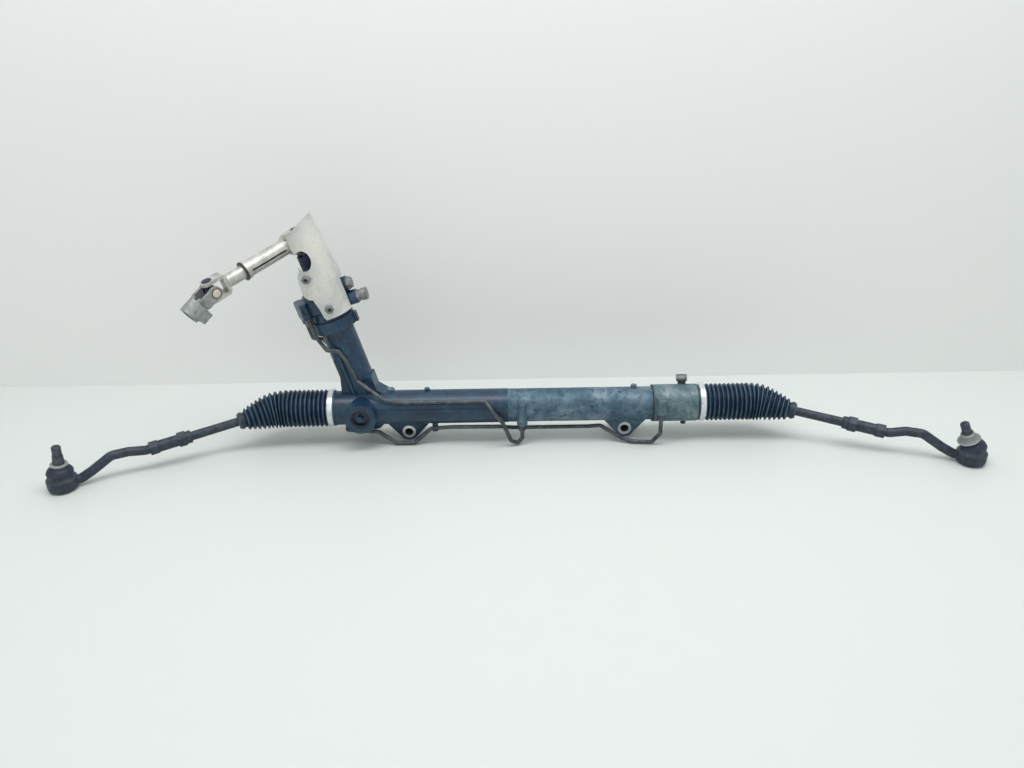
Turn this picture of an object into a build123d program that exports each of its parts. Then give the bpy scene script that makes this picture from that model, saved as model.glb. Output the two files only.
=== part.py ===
from build123d import *
import os
from math import acos, atan2, cos, degrees, pi, radians, sin, sqrt, tan

# Hydraulic rack-and-pinion steering gear with its tie rods and the loose intermediate shaft.
# Millimetres. X runs along the rack, Y to the back, +Z up. The origin lies midway between the
# two subframe bolts, on the front faces of the mounting ears.

os.makedirs("parts", exist_ok=True)

# ---------------------------------------------------------------- driving dimensions
RUN = 0.05                      # radial clearance of every running fit
GAP = 0.3                       # clearance between parts that pass each other

RACK_LIFT = 40.9                # rack axis above the subframe bolts
RACK_BACK = 3.0                 # rack axis behind the front faces of the ears
RACK_R = 13.0                   # rack bar
RACK_STROKE = 68.0              # travel each way from the middle
PIVOT_X = 354.5                 # inner ball joints from the middle, rack centred

BARREL_R = 25.5                 # cast barrel of the pinion housing
MOUTH_X = 281.5                 # both mouths of the housing from the middle
SEAT_LENGTH = 13.5              # turned seat for the boots at each mouth
SEAT_R = 25.0
SEAM_X = -13.0                  # cast housing meets the cylinder tube
TUBE_R = 25.0                   # cylinder tube
TUBE_BORE_R = 20.0
SLEEVE_X = 203.0                # end sleeve starts
SLEEVE_R = 27.75
STOP_DEPTH = 27.0               # bore for the ball sockets behind each mouth

BOLT_SPACING = 326.5            # subframe bolts
EAR_R = 13.8
EAR_DEPTH = 45.0
EAR_WEB = 14.0
EAR_SPREAD = 36.0               # half length of the triangular web
GUSSET = 2.6                    # two small gussets above each ear
GUSSET_X = 9.0
GUSSET_DEPTH = 14.0
BUSH_R = 10.2                   # steel sleeve in each ear
BOLT_HOLE_R = 6.1

PINION_X = -225.0               # pinion axis where it crosses the rack's height
LEAN = 16.0                     # lean of the pinion axis from upright, degrees
MODULE = 2.0
TEETH = 8
SHIFT = 0.55                    # profile shift of the pinion
PRESSURE = 20.0                 # pressure angle, degrees
BACKLASH = 0.16
TIP_CUT = 0.7                   # addendum left off, so that the tips keep their land
TIP_R = MODULE * (TEETH / 2 + 1 + SHIFT) - TIP_CUT
PINION_BACK = 17.0              # pinion axis behind the rack axis
PINION_FACE = 15.0              # half length of the toothed part

TOWER_R = 24.0
TOWER_DROP = 36.0               # lower end of the tower under the rack axis
TOWER_TOP = 138.0
LIP_R = 28.5                    # lips that the ring nut draws together
LIP = 6.0
RING_NUT_R = 31.5
NUT_BELOW = 2.0                 # ring nut below the lower lip and above the upper one
NUT_ABOVE = 3.5
RING_NUT_TOP = TOWER_TOP + LIP + NUT_ABOVE
VALVE_R = 34.0
VALVE_TOP = 200.0
VALVE_BORE_R = 19.0

PLUG_BOSS_R = 23.0
YOKE_X = PINION_X - 4.0
PLUG_FACE = -37.0               # front of the yoke boss, Y
YOKE_R = 15.0
YOKE_LENGTH = 22.0
PLUG_DEPTH = 12.0

INPUT_R = 9.5
ROTOR_R = 11.0
SPLINE_R = 9.0
TORSION_R = 3.0
SPLINE_IN = 29.0                # end of the input shaft short of the lower joint

BALL_R = 14.0                   # inner ball joints
LINER = 1.9                     # thickness of the polymer seats
SOCKET_R = 18.0
NECK_R = 6.5
MOUTH_ANGLE = 61.0              # half angle of every socket's mouth

ROD_R = 6.5
ROD_THREAD = 150.0              # from the pivot to the rod end's body
ROD_YAW = {"left": 24.4, "right": 18.0}
ROD_FALL = {"left": 6.5, "right": 7.2}
END_REACH = {"left": 157.9, "right": 157.5}       # outer joint from the rod end's threaded mouth
GROUND = RACK_LIFT - 54.7       # the bench that the gear lies on

END_BODY_R = 8.5
END_BODY = 40.0
HEX_FLAT = 21.0
ARM_R = 6.75
ARM_CREST = 36.0                # arm above the bench on its hump
ARM_FOOT = 10.0                 # arm above the bench where it meets the socket
STUD_BALL_R = 13.0
STUD_NECK_R = 6.0
STUD_THREAD_R = 6.0
STUD_BALL_LIFT = 17.5           # ball centre above the bench
END_SOCKET_R = 20.5
STUD_LEAN = {"left": 4.0, "right": -24.0}

BOOT_CREST_R = 28.0
BOOT_VALLEY_R = 23.2
BOOT_WALL = 1.4
BOOT_FOLDS = 19
BOOT_END = 63.0                 # small end of the boot from the pivot
BOOT_BEND_R = 75.0
CLAMP_WIDTH = 7.5
CLAMP_THICK = 1.0

LINE_R = 3.0                    # hydraulic lines
PORT_R = 8.0
PORT_X = {"inner": 8.0, "outer": SLEEVE_X + 9.0}

SHIELD_SHEET = 1.4
SHIELD_GAP = 0.4
SHIELD_TOP = 304.0              # cone of the sheet before its outline is cut
SHIELD_FOOT = 153.5

JOINT_RISE = 68.0               # lower universal joint above the valve housing's top
SHAFT_YAW = 43.5
SHAFT_FALL = 16.5
SHAFT_LENGTH = 146.0            # between the two universal joints
CLAMP_FALL = 35.0
PIN_SPAN = 15.2                 # half width over the bearing cups
EAR_THICK = 5.0
FORK_EAR_R = 9.0
CUP_R = 6.6
PIN_R = 4.0
CROSS_R = 8.0                   # body of both crosses
TUBE_OUT_R = 11.5
SLIDE_R = 9.5

# ---------------------------------------------------------------- planes worked out from them
JOINT_HEIGHT = VALVE_TOP + JOINT_RISE
SPLINE_TOP = JOINT_HEIGHT - SPLINE_IN
LEAN_S, LEAN_C = sin(radians(LEAN)), cos(radians(LEAN))
TOWER_FOOT = Vector(PINION_X, RACK_BACK + PINION_BACK, RACK_LIFT)
TOWER_DIR = Vector(-LEAN_S, 0, LEAN_C)
TOWER_SIDE = Vector(LEAN_C, 0, LEAN_S)
TOWER_LINE = Axis(TOWER_FOOT, TOWER_DIR)
RACK_LINE = Axis((0, RACK_BACK, RACK_LIFT), (1, 0, 0))

RACK_PROFILE = Plane(origin=(0, RACK_BACK, RACK_LIFT), x_dir=(1, 0, 0), z_dir=(0, -1, 0))
RACK_SECTION = Plane(origin=(0, RACK_BACK, RACK_LIFT), x_dir=(0, 1, 0), z_dir=(1, 0, 0))
TOWER = Plane(origin=TOWER_FOOT, x_dir=TOWER_SIDE, z_dir=TOWER_DIR)
TOWER_PROFILE = Plane(origin=TOWER_FOOT, x_dir=TOWER_SIDE, z_dir=(0, -1, 0))
EAR_FRONT = Plane(origin=(0, 0, 0), x_dir=(1, 0, 0), z_dir=(0, -1, 0))

SIDES = {"left": -1, "right": 1}


def save(piece, label):
    """Name a finished piece and write it."""
    piece.label = label
    export_step(piece, f"parts/{label}.step")


def along(start, end, inner, outer):
    """Section of a turned ring whose axis is the sketch's x axis."""
    with Locations(((start + end) / 2, (inner + outer) / 2)):
        Rectangle(end - start, outer - inner)


def around(inner, outer, low, high):
    """Section of a turned ring whose axis is the sketch's y axis."""
    with Locations(((inner + outer) / 2, (low + high) / 2)):
        Rectangle(outer - inner, high - low)


def tower_point(side, back, height):
    """World point from the tower's own directions."""
    return TOWER_FOOT + TOWER_SIDE * side + Vector(0, back, 0) + TOWER_DIR * height


def on_rack(x, radius, angle):
    """World point round the rack axis; the angle rises from the front."""
    turn = radians(angle)
    return Vector(x, RACK_BACK - radius * cos(turn), RACK_LIFT + radius * sin(turn))


def ear(x):
    """Mounting ear with its triangular web."""
    with BuildPart() as lug:
        with BuildSketch(EAR_FRONT):
            with Locations((x, 0)):
                Circle(EAR_R)
            with Locations((x, RACK_LIFT - BARREL_R * 0.8)):
                Rectangle(2 * EAR_SPREAD, 2)
            make_hull()
        extrude(amount=-EAR_WEB)
        with BuildSketch(EAR_FRONT):
            with Locations((x, 0)):
                Circle(EAR_R)
        extrude(amount=-EAR_DEPTH)
        with BuildSketch(EAR_FRONT.offset(-EAR_WEB)):
            with Locations((x, RACK_LIFT / 2)):
                Rectangle(EAR_R * 0.7, RACK_LIFT - EAR_R * 0.5)
        extrude(amount=-(EAR_DEPTH - EAR_WEB) * 0.6)
        for side in (-1, 1):
            with BuildSketch(Plane(origin=(x + side * GUSSET_X, 0, 0), x_dir=(0, 1, 0), z_dir=(1, 0, 0))):
                with BuildLine():
                    Polyline((1, EAR_R - 2), (1, RACK_LIFT - 8), (-GUSSET_DEPTH, RACK_LIFT - 8),
                             (-GUSSET_DEPTH, EAR_R + 8), close=True)
                make_face()
            extrude(amount=GUSSET / 2, both=True)
    return lug.part


left_ear = ear(-BOLT_SPACING / 2)
right_ear = ear(BOLT_SPACING / 2)

# ---------------------------------------------------------------- pinion housing
BEARING_LOW = -18.0             # top of the lower bearing along the tower
BEARING_LOW_LENGTH = 12.0
BEARING_LOW_R = 10.0
JOURNAL_LOW_R = 6.0
BEARING_TOP = 20.0              # underside of the upper bearing
BEARING_TOP_LENGTH = 10.0
BEARING_TOP_R = 17.5
JOURNAL_TOP_R = 8.5
CAVITY_R = TIP_R + 1.6
RIB_ANGLE = 12.0

with BuildPart() as pinion_housing:
    with BuildSketch(RACK_PROFILE):
        along(-MOUTH_X, SEAM_X, 0, SEAT_R)
        along(-MOUTH_X + SEAT_LENGTH, SEAM_X, 0, BARREL_R)
    revolve(axis=RACK_LINE)
    with BuildSketch(TOWER.offset(-TOWER_DROP)):
        Circle(TOWER_R - 4)
    extrude(amount=TOWER_DROP)
    with BuildSketch(TOWER):
        Circle(TOWER_R)
    extrude(amount=TOWER_TOP)
    with BuildSketch(TOWER.offset(TOWER_TOP - LIP)):
        Circle(LIP_R)
    extrude(amount=LIP)
    # web that fills the corner between barrel and leaning tower on the outer side
    with BuildSketch(Plane(origin=(0, RACK_BACK + 12, 0), x_dir=(1, 0, 0), z_dir=(0, -1, 0))):
        wall_x = PINION_X - 34
        with BuildLine():
            Polyline((wall_x, RACK_LIFT - 21), (wall_x, RACK_LIFT + 53), (wall_x - 7, RACK_LIFT + 76),
                     (PINION_X - 12, RACK_LIFT + 76), (PINION_X, RACK_LIFT - 21), close=True)
        make_face()
    extrude(amount=15, both=True)
    # fillet-like foot on the inner side
    with BuildSketch(Plane(origin=(0, RACK_BACK + 10, 0), x_dir=(1, 0, 0), z_dir=(0, -1, 0))):
        with BuildLine():
            Polyline((PINION_X, RACK_LIFT), (PINION_X + 34, RACK_LIFT), (PINION_X + 32, RACK_LIFT + 22),
                     (PINION_X + 18, RACK_LIFT + 31), (PINION_X + 12.5, RACK_LIFT + 52),
                     (PINION_X, RACK_LIFT + 52), close=True)
        make_face()
    extrude(amount=15, both=True)
    # boss of the rack yoke
    with BuildSketch(Plane(origin=(0, PLUG_FACE, 0), x_dir=(1, 0, 0), z_dir=(0, -1, 0))):
        with Locations((YOKE_X, RACK_LIFT)):
            Circle(PLUG_BOSS_R)
    extrude(amount=PLUG_FACE - RACK_BACK)
    # stiffening ribs along the front, and the long rib up the tower
    for angle in (RIB_ANGLE, RIB_ANGLE + 180):
        with BuildSketch(RACK_SECTION.offset(PINION_X + PLUG_BOSS_R - 3)):
            with Locations(Location((0, 0, 0), (0, 0, 180 - angle))):
                with Locations((BARREL_R, 0)):
                    Rectangle(4, 3)
        extrude(amount=SEAM_X - PINION_X - PLUG_BOSS_R + 3)
    with BuildSketch(TOWER.offset(PLUG_BOSS_R)):
        with Locations((-7, -TOWER_R)):
            Rectangle(4, 4)
    extrude(amount=TOWER_TOP - LIP - PLUG_BOSS_R - 38)
    add(left_ear)
    # bores
    with BuildSketch(RACK_PROFILE):
        along(-MOUTH_X - 1, SEAM_X + 1, 0, RACK_R + 0.5)
        along(-MOUTH_X - 1, -MOUTH_X + STOP_DEPTH, 0, SOCKET_R + 1)
    revolve(axis=RACK_LINE, mode=Mode.SUBTRACT)
    with BuildSketch(TOWER_PROFILE):
        around(0, BEARING_LOW_R, -TOWER_DROP - 1, BEARING_LOW)
        around(0, BEARING_LOW_R + 2.5, -TOWER_DROP - 1, -TOWER_DROP + 6)
        around(0, CAVITY_R, BEARING_LOW, BEARING_TOP)
        around(0, BEARING_TOP_R, BEARING_TOP, TOWER_TOP + 1)
    revolve(axis=TOWER_LINE, mode=Mode.SUBTRACT)
    with BuildSketch(Plane(origin=(0, PLUG_FACE - 1, 0), x_dir=(1, 0, 0), z_dir=(0, -1, 0))):
        with Locations((YOKE_X, RACK_LIFT)):
            Circle(YOKE_R + RUN)
    extrude(amount=PLUG_FACE - 1 - RACK_BACK, mode=Mode.SUBTRACT)
    with BuildSketch(Plane(origin=(0, PLUG_FACE - 1, 0), x_dir=(1, 0, 0), z_dir=(0, -1, 0))):
        with Locations((YOKE_X, RACK_LIFT)):
            Circle(YOKE_R + 2.5)
    extrude(amount=-PLUG_DEPTH - 1, mode=Mode.SUBTRACT)
    with BuildSketch(EAR_FRONT.offset(1)):
        with Locations((-BOLT_SPACING / 2, 0)):
            Circle(BUSH_R)
    extrude(amount=-EAR_DEPTH - 2, mode=Mode.SUBTRACT)
save(pinion_housing.part, "pinion_housing")

# ---------------------------------------------------------------- cylinder tube and end sleeve
SEAL_LENGTH = 10.0
BUSHING_X = 226.0
BUSHING_LENGTH = 28.0
PORT_FRONT = {"inner": -20.0, "outer": -32.0}     # Y of the two port bosses
SADDLE = 18.0                   # depth of the foot that carries the outer port
PORT_TOP = {"inner": 54.0, "outer": 62.0}
PORT_TAPER = 4.0                # the bosses narrow upwards
PORT_FOOT = {"inner": 21.0, "outer": 41.0}

with BuildPart() as cylinder_housing:
    with BuildSketch(RACK_PROFILE):
        along(SEAM_X, MOUTH_X, 0, TUBE_R)
    revolve(axis=RACK_LINE)
    with BuildSketch(Plane.XY.offset(PORT_FOOT["inner"])):
        with Locations((PORT_X["inner"], PORT_FRONT["inner"])):
            Circle(PORT_R)
    extrude(amount=PORT_TOP["inner"] - PORT_FOOT["inner"], taper=PORT_TAPER)
    add(right_ear)
    with BuildSketch(RACK_PROFILE):
        along(SEAM_X - 1, MOUTH_X + 1, 0, TUBE_BORE_R)
    revolve(axis=RACK_LINE, mode=Mode.SUBTRACT)
    with BuildSketch(Plane.XY.offset(PORT_FOOT["inner"] - 1)):
        with Locations((PORT_X["inner"], PORT_FRONT["inner"])):
            Circle(LINE_R + 2)
    extrude(amount=12, mode=Mode.SUBTRACT)
    with BuildSketch(EAR_FRONT.offset(1)):
        with Locations((BOLT_SPACING / 2, 0)):
            Circle(BUSH_R)
    extrude(amount=-EAR_DEPTH - 2, mode=Mode.SUBTRACT)
save(cylinder_housing.part, "cylinder_housing")

with BuildPart() as end_sleeve:
    with BuildSketch(RACK_PROFILE):
        along(SLEEVE_X, MOUTH_X - SEAT_LENGTH, TUBE_R, SLEEVE_R)
    revolve(axis=RACK_LINE)
    with BuildSketch(Plane.XY.offset(PORT_FOOT["outer"])):
        with Locations((PORT_X["outer"], PORT_FRONT["outer"])):
            Circle(PORT_R)
        with Locations((PORT_X["outer"], PORT_FRONT["outer"] + SADDLE)):
            Circle(PORT_R + 1)
        make_hull()
    extrude(amount=PORT_TOP["outer"] - PORT_FOOT["outer"], taper=PORT_TAPER)
    with BuildSketch(RACK_PROFILE):
        along(SLEEVE_X - 10, MOUTH_X, 0, TUBE_R)
    revolve(axis=RACK_LINE, mode=Mode.SUBTRACT)
save(end_sleeve.part, "end_sleeve")

with BuildPart() as mount_sleeves:
    for x in (-BOLT_SPACING / 2, BOLT_SPACING / 2):
        with BuildSketch(EAR_FRONT):
            with Locations((x, 0)):
                Circle(BUSH_R)
                Circle(BOLT_HOLE_R, mode=Mode.SUBTRACT)
        extrude(amount=-EAR_DEPTH)
save(mount_sleeves.part, "mount_sleeves")

# ---------------------------------------------------------------- rack guide
with BuildPart() as rack_yoke:
    with BuildSketch(Plane(origin=(0, RACK_BACK, 0), x_dir=(1, 0, 0), z_dir=(0, -1, 0))):
        with Locations((YOKE_X, RACK_LIFT)):
            Circle(YOKE_R)
    extrude(amount=RACK_R * 0.45 + YOKE_LENGTH)
    with BuildSketch(RACK_PROFILE):
        along(YOKE_X - 2 * YOKE_R, YOKE_X + 2 * YOKE_R, 0, RACK_R + RUN)
    revolve(axis=RACK_LINE, mode=Mode.SUBTRACT)
    with BuildSketch(Plane(origin=(0, RACK_BACK, 0), x_dir=(1, 0, 0), z_dir=(0, -1, 0))):
        with Locations((YOKE_X, RACK_LIFT)):
            Rectangle(4 * YOKE_R, 4 * YOKE_R)
    extrude(amount=RACK_R * 0.45, mode=Mode.SUBTRACT)
save(rack_yoke.part, "rack_yoke")

YOKE_FRONT = RACK_BACK - RACK_R * 0.45 - YOKE_LENGTH

with BuildPart() as yoke_plug:
    with BuildSketch(Plane(origin=(0, PLUG_FACE, 0), x_dir=(1, 0, 0), z_dir=(0, -1, 0))):
        with Locations((YOKE_X, RACK_LIFT)):
            Circle(YOKE_R + 2.5)
    extrude(amount=-(PLUG_DEPTH - 1))
    with BuildSketch(Plane(origin=(0, PLUG_FACE, 0), x_dir=(1, 0, 0), z_dir=(0, -1, 0))):
        with Locations((YOKE_X, RACK_LIFT)):
            Circle(13)
            RegularPolygon(4.5, 6, mode=Mode.SUBTRACT)
    extrude(amount=-5, mode=Mode.SUBTRACT)
save(yoke_plug.part, "yoke_plug")

with BuildPart() as yoke_spring:
    # conical disc spring between the plug and the yoke
    spring_plane = Plane(origin=(YOKE_X, 0, RACK_LIFT), x_dir=(1, 0, 0), z_dir=(0, 0, 1))
    plug_back = PLUG_FACE + PLUG_DEPTH - 1
    with BuildSketch(spring_plane):
        with BuildLine():
            Polyline((6, plug_back), (8, plug_back), (13, YOKE_FRONT - 0.8), (13, YOKE_FRONT),
                     (11.4, YOKE_FRONT), (6, plug_back + 0.8), close=True)
        make_face()
    revolve(axis=Axis((YOKE_X, 0, RACK_LIFT), (0, 1, 0)))
save(yoke_spring.part, "yoke_spring")

# ---------------------------------------------------------------- rack bar
PITCH = pi * MODULE
DATUM = MODULE * TEETH / 2 + SHIFT * MODULE      # rack's reference line from the pinion axis
RACK_TIP = DATUM - MODULE
RACK_ROOT = DATUM + 1.25 * MODULE
TOOTHED = RACK_STROKE + 17                       # half length of the toothed stretch
TOOTH_COUNT = 2 * int(TOOTHED * LEAN_C / PITCH) + 1
RACK_END = PIVOT_X - 30.0
SLANT = tan(radians(PRESSURE))
SPACE_HALF = PITCH / 4 + BACKLASH / 4

with BuildSketch() as tooth_space:
    with BuildLine():
        Polyline((-SPACE_HALF - 3 * SLANT, 3 - DATUM), (SPACE_HALF + 3 * SLANT, 3 - DATUM),
                 (SPACE_HALF - 2.5 * SLANT, -RACK_ROOT), (2.5 * SLANT - SPACE_HALF, -RACK_ROOT),
                 close=True)
    make_face()

with BuildPart() as rack_bar:
    with BuildSketch(RACK_PROFILE):
        along(-RACK_END, RACK_END, 0, RACK_R)
    revolve(axis=RACK_LINE)
    chamfer(rack_bar.edges().filter_by(GeomType.CIRCLE), 1)
    with BuildSketch(RACK_SECTION.offset(PINION_X)):
        with Locations((PINION_BACK - RACK_TIP + 10, 0)):
            Rectangle(20, 4 * RACK_R)
    extrude(amount=TOOTHED, both=True, mode=Mode.SUBTRACT)
    with BuildSketch(TOWER):
        with GridLocations(PITCH, 1, TOOTH_COUNT, 1):
            add(tooth_space.sketch)
    extrude(amount=TOOTHED * LEAN_S + 2 * RACK_R, both=True, mode=Mode.SUBTRACT)
save(rack_bar.part, "rack_bar")

PISTON_X = (PORT_X["inner"] + PORT_X["outer"]) / 2
PISTON_LENGTH = 18.0
with BuildPart() as piston:
    with BuildSketch(RACK_PROFILE):
        along(PISTON_X - PISTON_LENGTH / 2, PISTON_X + PISTON_LENGTH / 2, RACK_R, TUBE_BORE_R - RUN)
    revolve(axis=RACK_LINE)
save(piston.part, "piston")

with BuildPart() as rack_seals:
    for x in (SEAM_X, BUSHING_X - SEAL_LENGTH):
        with BuildSketch(RACK_PROFILE):
            along(x, x + SEAL_LENGTH, RACK_R + RUN, TUBE_BORE_R)
            with Locations((x + SEAL_LENGTH / 2, (RACK_R + TUBE_BORE_R) / 2)):
                Rectangle(SEAL_LENGTH - 3, 1.2, mode=Mode.SUBTRACT)
        revolve(axis=RACK_LINE)
save(rack_seals.part, "rack_seals")

with BuildPart() as rack_bushing:
    with BuildSketch(RACK_PROFILE):
        along(BUSHING_X, BUSHING_X + BUSHING_LENGTH, RACK_R + RUN, TUBE_BORE_R)
    revolve(axis=RACK_LINE)
save(rack_bushing.part, "rack_bushing")

# ---------------------------------------------------------------- pinion and valve
BASE_R = MODULE * TEETH / 2 * cos(radians(PRESSURE))
PITCH_R = MODULE * TEETH / 2
ROOT_R = PITCH_R + SHIFT * MODULE - 1.25 * MODULE
TOOTH_HALF = (PITCH / 2 + 2 * SHIFT * MODULE * SLANT - BACKLASH / 2) / (2 * PITCH_R)


def involute(angle):
    return tan(angle) - angle


def flank(radius):
    """Half angle of a pinion tooth at a radius."""
    pressure = acos(min(1, BASE_R / radius))
    return TOOTH_HALF + involute(radians(PRESSURE)) - involute(pressure)


def flank_point(radius, side):
    turn = flank(radius) * side
    return (radius * sin(turn), radius * cos(turn))


with BuildSketch() as pinion_tooth:
    flank_steps = [BASE_R + (TIP_R - BASE_R) * k / 4 for k in range(5)]
    root_half = flank(BASE_R) - 0.02
    foot = ROOT_R * 0.9
    with BuildLine():
        Spline([flank_point(r, -1) for r in flank_steps])
        Line(flank_point(TIP_R, -1), flank_point(TIP_R, 1))
        Spline([flank_point(r, 1) for r in reversed(flank_steps)])
        Polyline(flank_point(BASE_R, 1), (foot * sin(root_half), foot * cos(root_half)),
                 (-foot * sin(root_half), foot * cos(root_half)), flank_point(BASE_R, -1))
    make_face()

PINION_TOP = TOWER_TOP + 8
with BuildPart() as pinion_shaft:
    with BuildSketch(TOWER.offset(-PINION_FACE)):
        Circle(ROOT_R)
        with PolarLocations(0, TEETH, start_angle=180):
            add(pinion_tooth.sketch)
    extrude(amount=2 * PINION_FACE)
    with BuildSketch(TOWER_PROFILE):
        around(0, JOURNAL_LOW_R, BEARING_LOW - BEARING_LOW_LENGTH, -PINION_FACE)
        around(0, ROOT_R + 3, PINION_FACE, BEARING_TOP - RUN)
        around(0, JOURNAL_TOP_R, PINION_FACE, TOWER_TOP - 2)
        around(0, BEARING_TOP_R - 1, TOWER_TOP - 8, TOWER_TOP - 2)
        around(0, VALVE_BORE_R - 1, TOWER_TOP + 2 * GAP, PINION_TOP)
        around(0, BEARING_TOP_R - 1, TOWER_TOP - 2, PINION_TOP)
    revolve(axis=TOWER_LINE)
    with BuildSketch(TOWER_PROFILE):
        around(0, TORSION_R + GAP, 60, PINION_TOP + 1)
    revolve(axis=TOWER_LINE, mode=Mode.SUBTRACT)
save(pinion_shaft.part, "pinion_shaft")

SLEEVE_TOP = VALVE_TOP - 14
with BuildPart() as valve_sleeve:
    with BuildSketch(TOWER_PROFILE):
        around(ROTOR_R + RUN, VALVE_BORE_R - RUN, PINION_TOP, SLEEVE_TOP)
    revolve(axis=TOWER_LINE)
    with BuildSketch(TOWER_PROFILE):
        for k in range(3):
            around(VALVE_BORE_R - 2, VALVE_BORE_R + 2, PINION_TOP + 8 + 10 * k, PINION_TOP + 12 + 10 * k)
    revolve(axis=TOWER_LINE, mode=Mode.SUBTRACT)
save(valve_sleeve.part, "valve_sleeve")

TORSION_FOOT = 60.0
with BuildPart() as torsion_bar:
    with BuildSketch(TOWER_PROFILE):
        around(0, TORSION_R + GAP, TORSION_FOOT, TORSION_FOOT + 14)
        around(0, TORSION_R, TORSION_FOOT, SPLINE_TOP - 6)
    revolve(axis=TOWER_LINE)
save(torsion_bar.part, "torsion_bar")

with BuildPart() as input_shaft:
    with BuildSketch(TOWER_PROFILE):
        around(0, ROTOR_R, PINION_TOP + GAP, SLEEVE_TOP)
        around(0, INPUT_R, SLEEVE_TOP, VALVE_TOP + 4)
        around(0, SPLINE_R, VALVE_TOP + 4, SPLINE_TOP)
    revolve(axis=TOWER_LINE)
    chamfer(input_shaft.edges().group_by(Axis.Z)[-1], 1)
    with BuildSketch(TOWER_PROFILE):
        around(0, TORSION_R + GAP, PINION_TOP, SPLINE_TOP - 5)
    revolve(axis=TOWER_LINE, mode=Mode.SUBTRACT)
save(input_shaft.part, "input_shaft")

with BuildPart() as lower_bearing:
    with BuildSketch(TOWER_PROFILE):
        around(JOURNAL_LOW_R + RUN, BEARING_LOW_R, BEARING_LOW - BEARING_LOW_LENGTH, BEARING_LOW)
    revolve(axis=TOWER_LINE)
save(lower_bearing.part, "lower_bearing")

with BuildPart() as lower_cap:
    with BuildSketch(TOWER_PROFILE):
        around(0, BEARING_LOW_R + 2.5, -TOWER_DROP, -TOWER_DROP + 5)
        around(0, BEARING_LOW_R + 5, -TOWER_DROP - 3, -TOWER_DROP)
    revolve(axis=TOWER_LINE)
    with BuildSketch(TOWER.offset(-TOWER_DROP - 3)):
        RegularPolygon(8, 6)
    extrude(amount=-5)
save(lower_cap.part, "lower_cap")

with BuildPart() as upper_bearing:
    with BuildSketch(TOWER_PROFILE):
        around(JOURNAL_TOP_R + RUN, BEARING_TOP_R, BEARING_TOP, BEARING_TOP + BEARING_TOP_LENGTH)
        with Locations(((JOURNAL_TOP_R + BEARING_TOP_R) / 2, BEARING_TOP)):
            Rectangle(4, 2, mode=Mode.SUBTRACT)
        with Locations(((JOURNAL_TOP_R + BEARING_TOP_R) / 2, BEARING_TOP + BEARING_TOP_LENGTH)):
            Rectangle(4, 2, mode=Mode.SUBTRACT)
    revolve(axis=TOWER_LINE)
save(upper_bearing.part, "upper_bearing")

NUT_NOTCHES = 8
NOTCH_R = 1.7
with BuildPart() as ring_nut:
    nut_low = TOWER_TOP - LIP - NUT_BELOW
    with BuildSketch(TOWER_PROFILE):
        around(TOWER_R + GAP, RING_NUT_R, nut_low, RING_NUT_TOP)
        around(0, LIP_R + 0.1, TOWER_TOP - LIP, RING_NUT_TOP + 1)
    revolve(axis=TOWER_LINE)
    with BuildSketch(TOWER_PROFILE):
        around(0, LIP_R + 0.1, TOWER_TOP - LIP, RING_NUT_TOP + 1)
    revolve(axis=TOWER_LINE, mode=Mode.SUBTRACT)
    with BuildSketch(TOWER.offset(nut_low)):
        with PolarLocations(RING_NUT_R + 0.6, NUT_NOTCHES, start_angle=180 / NUT_NOTCHES):
            Circle(NOTCH_R)
    extrude(amount=RING_NUT_TOP - nut_low, mode=Mode.SUBTRACT)
    with BuildSketch(TOWER.offset(nut_low)):
        with Locations((RING_NUT_R + 1, 0)):
            Rectangle(6, 9)
    extrude(amount=RING_NUT_TOP - nut_low - 3)
save(ring_nut.part, "ring_nut")

# ---------------------------------------------------------------- valve housing
SEAL_R = 15.0
LUG_ANGLE = -94.0               # lug that carries the shield's upper bolt
LUG_TOP = 228.0
LUG_R = 30.0
SHIELD_BOLTS = ((-94.0, 218.4), (-73.0, 168.0))   # angle round the tower and height
SCREW_R = 3.0
WASHER_R = 8.0
THREAD_R = 24.0                 # bottoms of the screws' threaded holes from the tower's axis
FITTINGS = {"upper": (186.0, 38.0, 11.0), "lower": (164.0, 45.0, 10.5)}     # height, face and boss radius
FITTING_BACK = 4.0              # both fittings behind the tower's axis
BLOCK_ABOVE = 12.5              # underside of the valve's line block above the ring nut
BLOCK_FOOT = RING_NUT_TOP + BLOCK_ABOVE
BLOCK_TALL = 24.0
BLOCK_WALL = 1.1                # block round its line nuts
FRONT_NUT = (-26.0, -26.5)      # line nuts under the block, in the tower's directions
REAR_NUT = (-36.5, -8.0)
NUT_LENGTH = 10.0
NUT_R = 5.6

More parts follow.
